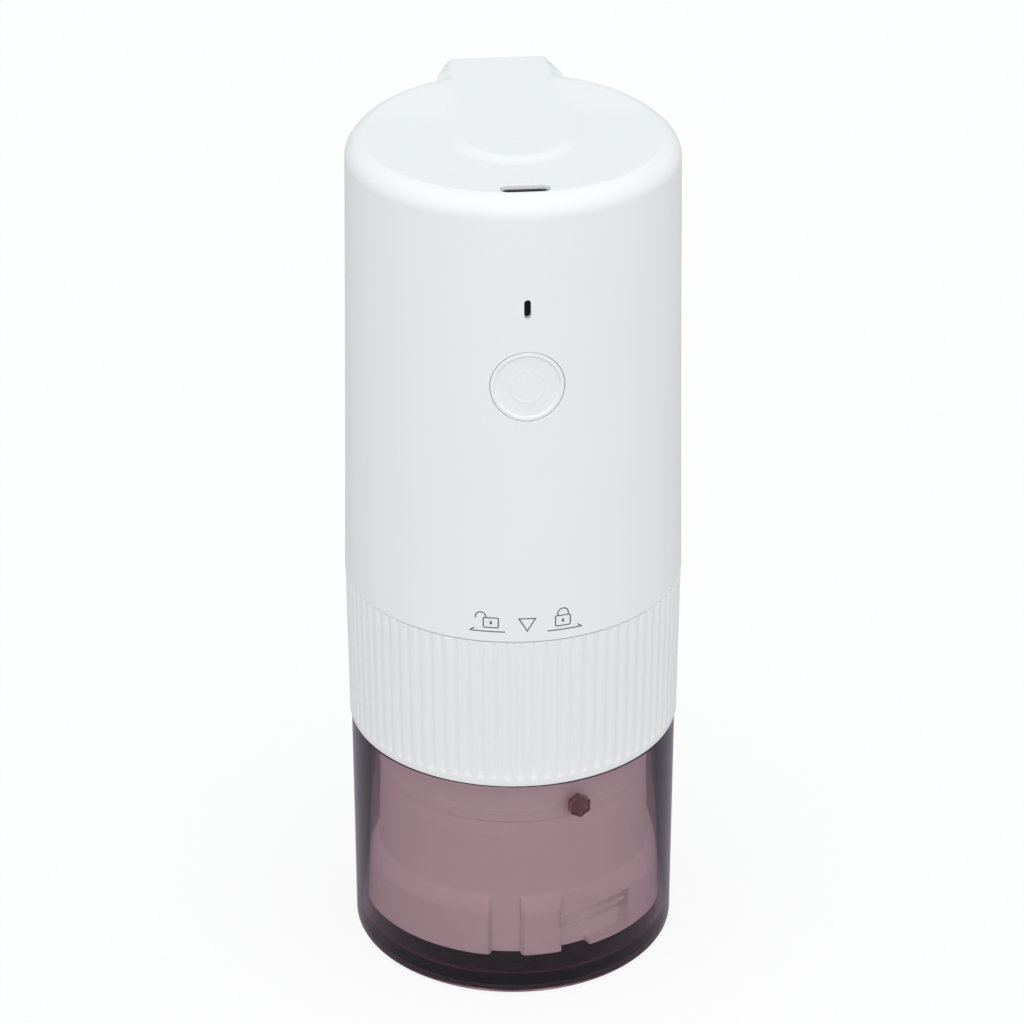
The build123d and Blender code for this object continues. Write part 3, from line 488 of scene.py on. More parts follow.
topRadius = footRadius - shellShape["topIn"]
middleRadius = footRadius - shellShape["middleIn"]
creaseAngle = math.radians(shellShape["crease"])
edgeRound = shellShape["capEdge"] / (1 - math.sin(creaseAngle))
edgeZ = capZ - edgeRound * math.cos(creaseAngle)
buttonZ = (buttonLow[2] + buttonHigh[2]) / 2
ledZ = (pipeLow[2] + pipeHigh[2]) / 2
usbY = (usbLow[1] + usbHigh[1]) / 2


def sideRadius(z):
    # parabola through the foot, waist and top radii of the side
    share = (z - footZ) / (edgeZ - footZ)
    bow = middleRadius - (footRadius + topRadius) / 2
    return footRadius + (topRadius - footRadius) * share + bow * 4 * share * (1 - share)


def frontPoint(x, z, out):
    # place on the side above (x, z), moved out along the radius
    radius = sideRadius(z) + out
    return grid(x, -np.sqrt(np.maximum(radius**2 - x**2, 0)), z)


def slotOutline(width, height, count):
    # stadium of unit growth: (u, v) points and the directions in which they grow
    angle = (np.arange(count) + 0.5) * 2 * math.pi / count
    ways = np.column_stack([np.cos(angle), np.sin(angle)])
    radius = min(width, height) / 2
    return radius * ways + np.sign(ways) * (np.array([width, height]) / 2 - radius), ways


def mouthRings(rounding, deep):
    # (growth, outward offset) of a hole's rings, from above the surface over a rounded edge down into it
    angle = np.radians([60.0, 40.0, 20.0, 0.0])
    growth, offset = rounding * (1 - np.cos(angle)), rounding * (np.sin(angle) - 1)
    above = 1.0
    lead = growth[0] + (above - offset[0]) * math.tan(angle[0])
    return np.array([[lead, above], *zip(growth, offset), [0.0, -deep]])


def holeCutter(outline, rings, lay):
    # rings of an outline laid on a surface, closed at both ends
    spots, ways = outline
    centre = np.repeat(spots.mean(0)[None], len(spots), 0)
    layers = [lay(spots + growth * ways, offset) for growth, offset in rings]
    return skin(np.stack([lay(centre, rings[0][1]), *layers, lay(centre, rings[-1][1])]))


def capLift(y, z):
    # lift of the cap's rear: full on the flat cap and fading to nothing down its rounded edge
    rise = shellShape["rearLift"] * smooth((y - shellShape["liftFrom"]) / shellShape["liftRun"])
    return rise * np.clip((z - edgeZ) / (capZ - edgeZ), 0, 1)


def tongueTop(y):
    # height of the tongue's top, which falls a little towards its front
    return capZ + shellShape["tongueRise"] - shellShape["tongueSink"] * np.clip((30 - y) / 42, 0, 1)


def tongueOutline(half, rearHalf, rearY, frontY):
    # U shape: an arc of an ellipse at the front, straight sides, and a rear that narrows behind the wall
    turn = np.linspace(0, math.pi, 49)
    arcY = shellShape["tongueArcY"]
    arc = np.stack([half * np.cos(turn), arcY + (frontY - arcY) * np.sin(turn)], -1)
    sideY = topRadius - 1.0
    bends = [
        [-half, 0, 0], [-half, sideY, 1.0], [-rearHalf, rearY, 0.5],
        [rearHalf, rearY, 0.5], [half, sideY, 1.0], [half, 0, 0]]
    return np.concatenate([arc, roundedOutline(bends, 4, closed=False)[1:-1]])


def lugOutline(rearY, inside):
    # the tongue's outline cut off at rearY, with its front drawn back to a circle inside the wall
    look = shellShape
    frontY = look["tongueArcY"] - 10
    outline = tongueOutline(look["tongueBaseHalf"], look["lugRearHalf"], shellHigh[1] - 0.4, frontY)
    bound = np.sqrt(inside**2 - outline[:, 0] ** 2)
    outline[:, 1] = np.maximum(np.minimum(outline[:, 1], rearY), bound)
    return outline


def tongueStack():
    # layers of outlines: the lug from its foot up, then the tongue's slope as a soft S up to its flat top
    look = shellShape
    rear = shellHigh[1]
    topFront = look["tongueArcY"] - look["tongueTopHalf"]
    baseFront, topHalf = topFront - look["tongueRun"], look["tongueTopHalf"]
    base = tongueOutline(look["tongueBaseHalf"], look["lugRearHalf"], rear - 0.4, baseFront)
    top = tongueOutline(topHalf, topHalf - 0.1, rear, topFront)
    wallY = topRadius - look["capEdge"] - 0.5
    (lean, leanRise), (lower, upper) = look["lugLean"], look["lugInside"]
    layers = []
    for share in np.linspace(0, 1, 7):
        rearY = wallY + (rear - lean - wallY) * share
        layers.append((lugOutline(rearY, lower), capZ - look["lugDepth"] + leanRise * share))
    for inward, drop, inside in [(0.8, 3.0, lower), (0.7, 2.2, upper), (0.5, 1.0, upper)]:
        layers.append((lugOutline(rear - inward, inside), capZ - drop))
    layers.append((base, capZ - 0.9))
    shares = np.linspace(0, 1, 15)
    straight = np.clip((shares - 0.1) / 0.8, 0, 1)
    rises = smooth((shares - 0.04) / 0.92) * look["softness"] + straight * (1 - look["softness"])
    low = capZ + 0.02
    for share, rise in zip(shares, rises):
        outline = base + (top - base) * share
        layers.append((outline, low + (tongueTop(outline[:, 1]) - low) * rise))
    spine = np.column_stack([np.zeros(len(top)), np.clip(top[:, 1], topFront + 8, rear - 8)])
    layers.append((spine, tongueTop(spine[:, 1])))
    return skin(np.stack([grid(*outline.T, z) for outline, z in layers]))


def cordHole():
    # cylinder across the lug
    radius, reach, count = shellShape["cordHole"], 30, 40
    turn = np.linspace(0, 2 * math.pi, count, endpoint=False)
    y, z = topRadius + radius + shellShape["cordHoleOut"], capZ - shellShape["cordHoleDrop"]
    ends = [(-reach, 0), (-reach, radius), (reach, radius), (reach, 0)]
    x, r = np.array(ends).T[:, :, None]
    return skin(grid(x, y + r * np.cos(turn), z + r * np.sin(turn)))


def bodyShell():
    # closed turned shell (inside, side, rounded edge, cap), joined to the tongue and cut by the holes
    look = shellShape
    wall, capLow = look["wall"], capZ - look["capWall"]
    inside = footRadius - wall
    inner = np.array([
        [0, capLow], [topRadius - wall - 1.2, capLow], [topRadius - wall, capLow - 1.2],
        [middleRadius - wall, (footZ + capZ) / 2], [inside, footZ + 3], [inside, footZ + 0.2],
        [inside + 0.2, footZ], [footRadius - 0.2, footZ], [footRadius - 0.06, footZ + 0.06]])
    height = np.linspace(footZ, edgeZ, 61)
    height[0] = footZ + 0.2
    side = np.stack([sideRadius(height), height], -1)
    turn = np.linspace(0, math.pi / 2 - creaseAngle, 17)[1:]
    edge = np.stack([topRadius - edgeRound * (1 - np.cos(turn)), edgeZ + edgeRound * np.sin(turn)], -1)
    cap = np.stack([np.linspace(edge[-1, 0], 0, 25)[1:], np.full(24, capZ)], -1)
    points, faces = turned(np.concatenate([inner, side, edge, cap]), 384)
    points[..., 2] += capLift(points[..., 1], points[..., 2])
    shell = meshOf("body_shell_skin", [(points, faces)])
    shell = carve(shell, meshOf("tongue", [tongueStack()]), "UNION")
    hole = 2 * (look["buttonRadius"] + look["buttonGap"])
    depth = look["holeDepth"]
    tools = [
        holeCutter(slotOutline(hole, hole, 128), mouthRings(look["mouthRound"], depth), onFront(buttonZ)),
        holeCutter(slotOutline(*look["ledSlot"], 40), mouthRings(0.1, depth), onFront(ledZ)),
        holeCutter(slotOutline(*look["usbSlot"], 64), mouthRings(0.2, look["usbDepth"]), onCap(usbY)),
        cordHole(),
    ]
    return carve(shell, meshOf("holes", tools))


def onFront(z):
    # lays (across, up) offsets round a height on the front of the side
    return lambda spot, out: frontPoint(spot[:, 0], z + spot[:, 1], out)


def onCap(y):
    # lays (across, back) offsets round a place on the flat cap
    return lambda spot, out: grid(spot[:, 0], y + spot[:, 1], capZ + out)


def read(collection, key, width, kind=float):
    # one attribute of all the items of a mesh collection, as an array
    values = np.zeros(len(collection) * width, kind)
    collection.foreach_get(key, values)
    return values.reshape(-1, width) if width > 1 else values


def settleNormals(mesh):
    # level faces keep level normals, and the side and its rounded edge take the normals of their formulas
    shade(mesh, 32.0)
    near, step = 0.004, 0.01
    normals = read(mesh.corner_normals, "vector", 3)
    totals = read(mesh.polygons, "loop_total", 1, int)
    face = np.repeat(np.arange(len(totals)), totals)
    where = read(mesh.vertices, "co", 3)[read(mesh.loops, "vertex_index", 1, int)] / mm
    outer = read(mesh.polygons, "normal", 3)[face]
    radius, height = np.hypot(where[:, 0], where[:, 1]), where[:, 2]
    lean = capLift(where[:, 1], capZ) / (capZ - edgeZ)
    height = np.where(height > edgeZ, (height + lean * edgeZ) / (1 + lean), height)
    outward = where[:, :2] / np.maximum(radius, 0.001)[:, None]
    centre = topRadius - edgeRound
    onSide = (np.abs(radius - sideRadius(height)) < near) & (height < edgeZ + 0.001)
    onEdge = (np.abs(np.hypot(radius - centre, height - edgeZ) - edgeRound) < near) & (height > edgeZ - 0.001)
    hits = np.zeros(len(totals))
    np.add.at(hits, face, onSide | onEdge)
    facing = (outer[:, :2] * outward).sum(1) + outer[:, 2] > 0.2
    ours = (hits == totals)[face] & facing
    slope = (sideRadius(height + step) - sideRadius(height - step)) / (2 * step)
    sideNormal = np.column_stack([outward, -slope])
    edgeNormal = np.column_stack([outward * (radius - centre)[:, None], height - edgeZ])
    normals[ours & onSide] = sideNormal[ours & onSide]
    upper = ours & onEdge & (height > edgeZ + 0.01)
    normals[upper] = edgeNormal[upper]
    level = np.abs(outer[:, 2]) > 0.99999
    normals[level] = outer[level]
    mesh.normals_split_custom_set(unit(normals).tolist())


shellMesh = bodyShell()
settleNormals(shellMesh)
addPiece("body_shell_skin", shellMesh, "motor_unit", "white_plastic", ["body_shell"])


slotShadeShape = {
    "outer": (9.9, 3.3),
    "inner": (7.7, 1.9),
    "rise": (0.02, 0.28),  # its foot and top over the socket's mouth
}


def slotShadeRing():
    # flat black ring round the charging socket, a dark sheet that paints the slot's shade: two stadium
    # outlines at two heights, joined both ways
    look = slotShadeShape
    lower, upper = (usbHigh[2] + rise for rise in look["rise"])
    outer, inner = (slotOutline(*look[size], 64)[0].T for size in ("outer", "inner"))
    section = [(outer, lower), (outer, upper), (inner, upper), (inner, lower)]
    rings = [grid(across, usbY + back, height) for (across, back), height in section]
    return meshOf("usb_slot_shade", [skin(np.stack(rings), True)])


# the ring takes the black chip moulding, which paints shade into the charging slot
addPiece("usb_slot_shade", slotShadeRing(), "motor_unit", "chip_black")


buttonShape = {
    "radius": 7.65,
    "skirt": 7.78,  # step that closes most of the gap below the face
    "skirtDrop": 0.62,
    "skirtEnd": 1.5,
    "round": 0.25,
    "rim": 6.95,  # where the rim's bevel starts
    "floor": 6.6,  # where the bevel meets the sunk floor
    "sink": 0.35,
    "flange": 8.9,
    "flangeWall": 0.9,
    "symbolRadius": 3.5,
    "symbolWidth": 0.5,
    "symbolGap": 24.0,  # half of the ring's opening, in degrees
    "barLow": 1.0,
    "barHigh": 4.3,
    "symbolRise": 0.065,
}


def symbolRise(across, up):
    # soft ridge along a ring open at the top and along an upright bar: 1 - smooth(distance / half width)
    look = buttonShape
    radius, turn = np.hypot(across, up), np.degrees(np.abs(np.arctan2(across, up)))
    past = np.radians(np.maximum(look["symbolGap"] - turn, 0)) * look["symbolRadius"]
    ring = np.hypot(radius - look["symbolRadius"], past)
    bar = np.hypot(across, up - np.clip(up, look["barLow"], look["barHigh"]))
    half = look["symbolWidth"] / 2
    return look["symbolRise"] * (1 - smooth((np.minimum(ring, bar) - half * 0.45) / (half * 1.1)))


def powerButton():
    # polar grid: rings of (radius, offset from the side's surface) in front, level (radius, y) ones behind
    look = buttonShape
    radius, bend, skirt, drop = look["radius"], look["round"], look["skirt"], look["skirtDrop"]
    rim, floor, sink = look["rim"], look["floor"], look["sink"]
    turn = np.linspace(0, 2 * math.pi, 256, endpoint=False)[None, :]
    corner = np.radians(np.linspace(0, 90, 7))
    bevel = np.linspace(0, 1, 9)
    inside = np.linspace(floor - 0.08, 0, 84)
    front = np.concatenate([
        [[skirt, -look["skirtEnd"]], [skirt, -drop], [skirt - 0.04, 0.04 - drop], [radius, 0.08 - drop]],
        np.column_stack([radius - bend * (1 - np.cos(corner)), bend * (np.sin(corner) - 1)]),
        [[rim + 0.1, 0]],
        np.column_stack([rim + (floor - rim) * bevel, -sink * smooth(bevel)]),
        np.column_stack([inside, np.full(len(inside), -sink)]),
    ])
    across, up = front[:, :1] * np.sin(turn), front[:, :1] * np.cos(turn)
    out = front[:, 1:] + np.where(front[:, :1] < floor - 0.5, symbolRise(across, up), 0)
    faceGrid = frontPoint(across, buttonZ + up, out)
    rear, flange, wall = buttonHigh[1], look["flange"], look["flangeWall"]
    behind = np.array([
        [0, rear], [flange - 0.1, rear], [flange, rear - 0.1], [flange, rear - wall], [skirt, rear - wall]])
    across, up = behind[:, :1] * np.sin(turn), behind[:, :1] * np.cos(turn)
    backGrid = grid(across, behind[:, 1:], buttonZ + up)
    return meshOf("power_button_cap", [skin(np.concatenate([backGrid, faceGrid]))])


addPiece("power_button_cap", powerButton(), "button", "white_plastic", ["power_button"])


signShape = {
    "width": 0.27,  # of a stroke
    "proud": 0.015,
    "sunk": 0.03,
    # places are (along the seam, above the shell's foot)
    "triangle": [[-0.1, 2.65], [1.65, 5.6], [-1.85, 5.6]],
    "openBody": (-9.4, -6.2, 3.4, 5.7),  # left, right, foot and top
    "openShackle": (-9.95, 5.85, 1.12, 195, 20),  # middle, radius, and its start and end in degrees
    "openEnd": [[-8.8, 5.7]],
    "openArrow": [[-4.75, 2.45], [-12.3, 2.45], [-11.4, 3.15]],
    "shutBody": (5.95, 9.2, 3.3, 5.7),
    "shutShackle": (7.6, 6.25, 1.15, 180, 0),
    "shutEnds": ([[6.45, 5.7]], [[8.75, 5.7]]),
    "shutArrow": [[4.2, 2.35], [11.75, 2.35], [10.85, 3.05]],
    "keyhole": (0.16, 0.3),
}


def ribbon(line, closed=False):
    # bar of the stroke's width carried along a line of (along the seam, height) points and laid on the side
    line = finer(np.concatenate([line, line[:1]]) if closed else np.array(line, float), 0.4)
    if closed:
        line = line[:-1]
    before = np.roll(line, 1, 0) if closed else np.concatenate([2 * line[:1] - line[1:2], line[:-1]])
    after = np.roll(line, -1, 0) if closed else np.concatenate([line[1:], 2 * line[-1:] - line[-2:-1]])
    into, onward = unit(line - before), unit(after - line)
    along = unit(into + onward)
    mitre = 1 / np.maximum((along * onward).sum(1), 0.5)
    side = np.column_stack([-along[:, 1], along[:, 0]]) * (signShape["width"] / 2 * mitre)[:, None]
    sunk, proud = -signShape["sunk"], signShape["proud"]
    section = [(-1, sunk), (-1, proud), (1, proud), (1, sunk)]
    points = np.stack([seamPoint(line + way * side, out) for way, out in section], 1)
    if not closed:
        ends = points[[0, -1]].mean(1, keepdims=True).repeat(4, 1)
        points = np.concatenate([ends[:1], points, ends[1:]])
    return skin(points, closed)


def seamPoint(spot, out):
    # a place (along the seam, above the shell's foot) on the side, moved out along the radius
    height = footZ + spot[:, 1]
    radius = sideRadius(height)
    return around(radius + out, spot[:, 0] / radius, height)


def arcLine(x, y, radius, start, end):
    # points on a circle between two angles counted from the right, anticlockwise
    turn = np.radians(np.linspace(start, end, 14))
    return np.column_stack([x + radius * np.cos(turn), y + radius * np.sin(turn)])


def padlock(left, right, low, high, shackle):
    # strokes of the body with softened corners, the upright oval of the keyhole, and the shackle
    box = roundedOutline([[left, low, 0.25], [right, low, 0.25], [right, high, 0.25], [left, high, 0.25]], 3)
    turn = np.linspace(0, 2 * math.pi, 9)[:-1]
    keyhole = np.column_stack([np.cos(turn), np.sin(turn)]) * signShape["keyhole"]
    keyhole += (left + right) / 2, (low + high) / 2
    return [ribbon(box, True), ribbon(keyhole, True), ribbon(shackle)]


def signs():
    # a triangle between an open padlock on its left and a shut one on its right, each over an arrow
    look = signShape
    openShackle = np.concatenate([arcLine(*look["openShackle"]), look["openEnd"]])
    left, right = look["shutEnds"]
    shutShackle = np.concatenate([left, arcLine(*look["shutShackle"]), right])
    strokes = [ribbon(look["triangle"], True), *padlock(*look["openBody"], openShackle)]
    strokes += padlock(*look["shutBody"], shutShackle)
    strokes += [ribbon(look["openArrow"]), ribbon(look["shutArrow"])]
    return meshOf("lock_signs", strokes, 60.0)


addPiece("lock_signs", signs(), "motor_unit", "switch_grey", finish=finishes["ink"])


collarLow, collarHigh = corners("collar")
housingLow, housingHigh = corners("burr_housing")
sealHigh = corners("cup_seal")[1]

collarShape = {
    "ribs": 80,
    "perRib": 14,  # columns of the grid
    "flare": 0.3,  # the foot is this much narrower than the top
    "lip": 1.4,
    "grooveRadius": 1.05,
    "grooveDepth": 0.45,
    "edge": 0.14,  # rounding where a groove meets the land
    "runout": 3.4,  # length over which a groove's foot fades in
    "topBevel": 0.42,  # how far in the level top edge starts, past the grooves
    "neckHeight": 0.3,
    "neckStep": 0.8,
    "neckWall": 1.15,
    "bore": 33.1,
    "webTop": 58.5,
    "throat": 16.6,
    "keyHalf": 6.8,
    "keyTwist": 20.0,
    "keyFloor": 34.5,
    "keyDrop": 7.65,
    "keyHeight": 4.3,
    "keySoft": 0.5,  # width of a channel's walls, in degrees
    "socket": 31.75,  # radius of the housing's seat
    "sealSeat": (33.4, 35.5),
}
collarTop = collarHigh[2] - collarShape["neckHeight"]


def collarSide(z):
    # radius of the side, which tapers in a straight line towards the foot
    return collarHigh[0] - collarShape["flare"] * (collarTop - z) / (collarTop - collarLow[2])


def grooves(turn, z):
    # depth of the grooves, each a round channel with a ball end at its foot, which fades in over the runout:
    # cut = sqrt(r^2 - across^2 - below^2) - (r - depth), softened to (cut + sqrt(cut^2 + edge^2)) / 2
    look = collarShape
    radius, edge, foot = look["grooveRadius"], look["edge"], collarLow[2] + look["lip"]
    pitch = 2 * math.pi / look["ribs"]
    across = (np.mod(turn, pitch) - pitch / 2) * collarHigh[0]
    below = np.maximum(foot + radius - z, 0)
    inside = np.maximum(radius**2 - across**2 - below**2, 0)
    cut = np.sqrt(inside) - (radius - look["grooveDepth"])
    soft = (cut + np.sqrt(cut * cut + edge * edge)) / 2 - edge * 0.12
    return np.maximum(soft, 0) * (inside > 0) * smooth((z - foot) / look["runout"] + 0.25)


def keyways(turn, z):
    # 1 in the three L channels of the bore, each an entry from the top and a run to one side, and 0 elsewhere
    look = collarShape
    soft, low = look["keySoft"], collarTop - look["keyDrop"]
    edge = look["keyHalf"] - soft / 2
    channel = np.zeros((len(z), turn.size))
    for middle in (60.0, 180.0, 300.0):
        away = np.mod(np.degrees(turn) - middle + 180, 360) - 180
        entry = window(away, -edge, edge, soft)
        run = window(away, -edge - look["keyTwist"], edge, soft) * (z < low + look["keyHeight"])
        channel = np.maximum(channel, np.maximum(entry, run) * (z > low))
    return channel


def collarSleeve():
    # closed turned surface: up the grooved side, over the neck, down the bore with its keyways, and through
    # the web's throat to the seats of the housing and the seal
    look = collarShape
    foot, top, webTop, bore = collarLow[2], collarTop, look["webTop"], look["bore"]
    count = look["ribs"] * look["perRib"]
    turn = np.arange(count)[None, :] * 2 * math.pi / count
    grooveZ = foot + look["lip"] + look["grooveRadius"]
    ends = grooveZ - look["grooveRadius"] * np.cos(np.linspace(0.15, math.pi / 2, 11))
    sideZ = np.r_[foot + 0.25, foot + 0.7, ends, np.linspace(grooveZ + 1.5, top - 0.3, 9)][:, None]
    boreZ = np.r_[top, np.linspace(top - 0.3, webTop + 0.3, 44), webTop][:, None]
    edge, neck, neckTop = collarHigh[0] - look["topBevel"], collarHigh[0] - look["neckStep"], collarHigh[2]
    neckIn = neck - look["neckWall"]
    over = np.array([
        [edge + 0.03, top - 0.03], [edge, top], [neck, top],
        [neck, neckTop], [neckIn, neckTop], [neckIn, top]])
    throat, socket, ceiling = look["throat"], look["socket"], housingHigh[2]
    sealIn, sealOut = look["sealSeat"]
    rim, side = sealHigh[2] + 0.05, collarSide(foot)
    under = np.array([
        [throat + 0.3, webTop], [throat, webTop - 0.3], [throat, ceiling], [socket, ceiling],
        [socket, foot], [sealIn, foot], [sealIn, rim], [sealOut, rim], [sealOut, foot],
        [side - 0.25, foot], [side - 0.07, foot + 0.07]])
    radius = np.concatenate([
        collarSide(sideZ) - grooves(turn, sideZ), over[:, :1] + 0 * turn,
        bore + (look["keyFloor"] - bore) * keyways(turn, boreZ), under[:, :1] + 0 * turn])
    points = around(radius, turn, np.concatenate([sideZ, over[:, 1:], boreZ, under[:, 1:]]))
    return meshOf("collar_sleeve", [skin(points, True)], 40.0)


addPiece("collar_sleeve", collarSleeve(), "head", "collar_plastic", ["collar"])


cupLow, cupHigh = corners("cup")
padHigh = corners("base_pad")[1]

cupShape = {
    "taper": 0.15,
    "wall": 1.5,
    "floor": 3.9,
    "corner": 0.95,
    "innerCorner": 1.8,
    "rimRound": 0.35,
    "padGap": 0.05,
    "lugCount": 3,
    "lugAngle": 20.0,
    "lugHalf": 2.575,  # half of the hexagon's height across its points
    "lugDrop": 7.7,
    "lugTip": 32.25,
    "lugBevel": 0.6,
    "lugRound": 0.18,
    # the lugs are the cup's own plastic, here with a deeper tint and denser absorption: painted shade that
    # darkens them
    "lugShadeTint": {"tint": (0.55, 0.2, 0.3, 1.0), "density": 560.0},
    "padStep": 0.45,  # height of its slanted underside
    "padEdge": 1.15,  # how far the foot pad's widest part is inside the cup's side; its reach up under the corner darkens it as painted shade
}


def lugRings(angle):
    # hexagon with its points up and down: a foot that follows the inner wall, straight sides, a bevelled tip
    look = cupShape
    corner = np.radians(np.arange(6) * 60 + 90)
    hexagon = np.column_stack([np.cos(corner), np.sin(corner)]) * look["lugHalf"]
    outline = roundedOutline(np.column_stack([hexagon, np.full(6, look["lugRound"])]), 4)
    middle = cupHigh[2] - look["lugDrop"]
    share = (middle - cupLow[2]) / (cupHigh[2] - cupLow[2])
    wall = cupHigh[0] - look["taper"] * (1 - share) - look["wall"] - look["padGap"]
    shrink = 1 - look["lugBevel"] / look["lugHalf"]
    tip = look["lugTip"]
    bevel = tip + look["lugBevel"]
    layers = [
        (0.0, wall), (0.98, wall), (1.0, wall), (1.0, bevel + 0.1), (0.985, bevel),
        (shrink, tip + 0.05), (shrink - 0.03, tip), (0.0, tip)]
    turn = math.radians(angle)
    rings = []
    for number, (size, radius) in enumerate(layers):
        across, up = (outline * size).T
        out = np.sqrt(radius**2 - across**2) if number < 3 else radius
        x = out * math.sin(turn) + across * math.cos(turn)
        y = -out * math.cos(turn) + across * math.sin(turn)
        rings.append(grid(x, y, middle + up))
    return skin(np.stack(rings))


def padProfile(gap):
    # outline of the foot pad's edge from its underside up, following the cup's rounded corner at a gap
    look, base = cupShape, cupHigh[0] - cupShape["taper"]
    widest = base - look["padEdge"]
    rise, top = cupLow[2] + look["padStep"], padHigh[2] + gap
    return [[padHigh[0] + gap, cupLow[2], 0.1], [widest + gap, rise, 0.2], [widest + gap, top, 0.1]]


def clearCup():
    # turned wall and floor with rounded corners, and a pocket for the pad under the floor
    look = cupShape
    low, rimZ, rim, lip = cupLow[2], cupHigh[2], cupHigh[0], look["rimRound"]
    base, wall, floorZ = rim - look["taper"], look["wall"], low + look["floor"]
    outline = [
        [0, padHigh[2] + look["padGap"], 0], *padProfile(look["padGap"])[::-1], [base, low, look["corner"]],
        [rim, rimZ, lip], [rim - wall, rimZ, lip], [base - wall, floorZ, look["innerCorner"]], [0, floorZ, 0]]
    return meshOf("cup_shell", [turned(roundedOutline(outline, 8), 320)], 40.0)


def footPad():
    # flat disc with a softened lower edge, widened upwards under the cup's corner; its near-black colour
    # there paints the shade at the cup's base
    outline = [[0, 0, 0], [padHigh[0] - 0.05, 0, 0.15]] + padProfile(0.0) + [[0, padHigh[2], 0]]
    return meshOf("foot_pad", [turned(roundedOutline(outline, 5), 200)], 40.0)


def cupLugs():
    # the lugs at even turns
    count = cupShape["lugCount"]
    angles = [cupShape["lugAngle"] + 360 * number / count for number in range(count)]
    return meshOf("cup_lugs", [lugRings(angle) for angle in angles], 30.0)


# a darker copy of the cup's plastic for the lugs: painted shade
lugShadedPlastic = finished(tintedPlastic, "lug plastic deepened as painted shade", cupShape["lugShadeTint"])
addPiece("cup_shell", clearCup(), "cup", "tinted_plastic", ["cup"])
addPiece("cup_lugs", cupLugs(), "cup", "tinted_plastic", ["cup"], lugShadedPlastic)
addPiece("foot_pad", footPad(), "cup", "foot_silicone", ["base_pad"])


housingShape = {
    "bore": 28.7,
    "ringHeight": 11.2,
    "shoulder": 3.3,
    "ringOut": 0.85,  # how far the ring stands beyond the CAD's, closer to the cup's wall
    "footUp": 0.35,  # how far its foot is above the CAD's
    "barrelIn": 2.15,  # how far the barrel is inside the ring's radius
    "beadIn": 1.93,
    "bandIn": 2.65,
    "beadZ": 43.2,
    "beadHeight": 1.8,
    "cove": 3.2,
    "notch": (-13.15, -2.05, 2.0),  # from and to, in degrees from the front, and depth
    "track": (13.6, 42.9),
    "mouth": (13.6, 24.6),
    "lip": 1.3,
    "trackTop": 10.6,  # above the housing's foot
    "recess": 31.6,  # radius of the track's floor over and under its shelf
    "shelf": (7.0, 8.4, 32.9),  # from and to above the housing's foot, and radius
    "undercut": (5.1, 30.85),  # groove below the shelf: its foot and radius
    "opening": 32.12,  # radius of the lug's way down into the mouth
    # inside, from the top down: (radius, below the top, rounding), then (out from the bore, above the foot)
    "seats": [
        (16.6, 0, 0.3), (16.6, 5, 0), (20.05, 5, 0), (20.05, 19, 0),
        (22.05, 19, 0), (22.05, 3.5, 0.4), (28.7, 3.5, 0.6)],
    "clipRidge": [(0, 6.5), (-0.45, 6.1), (-0.45, 5.7), (0, 5.3), (0, 0.2), (0.2, 0), (1.2, 0)],
}


def crowded(low, high, count, edges, half):
    # even places from low to high, with four more close round each edge
    near = np.array(edges)[:, None] + np.array([-1, -0.35, 0.35, 1]) * half
    return np.unique(np.concatenate([np.linspace(low, high, count), near.ravel()]))


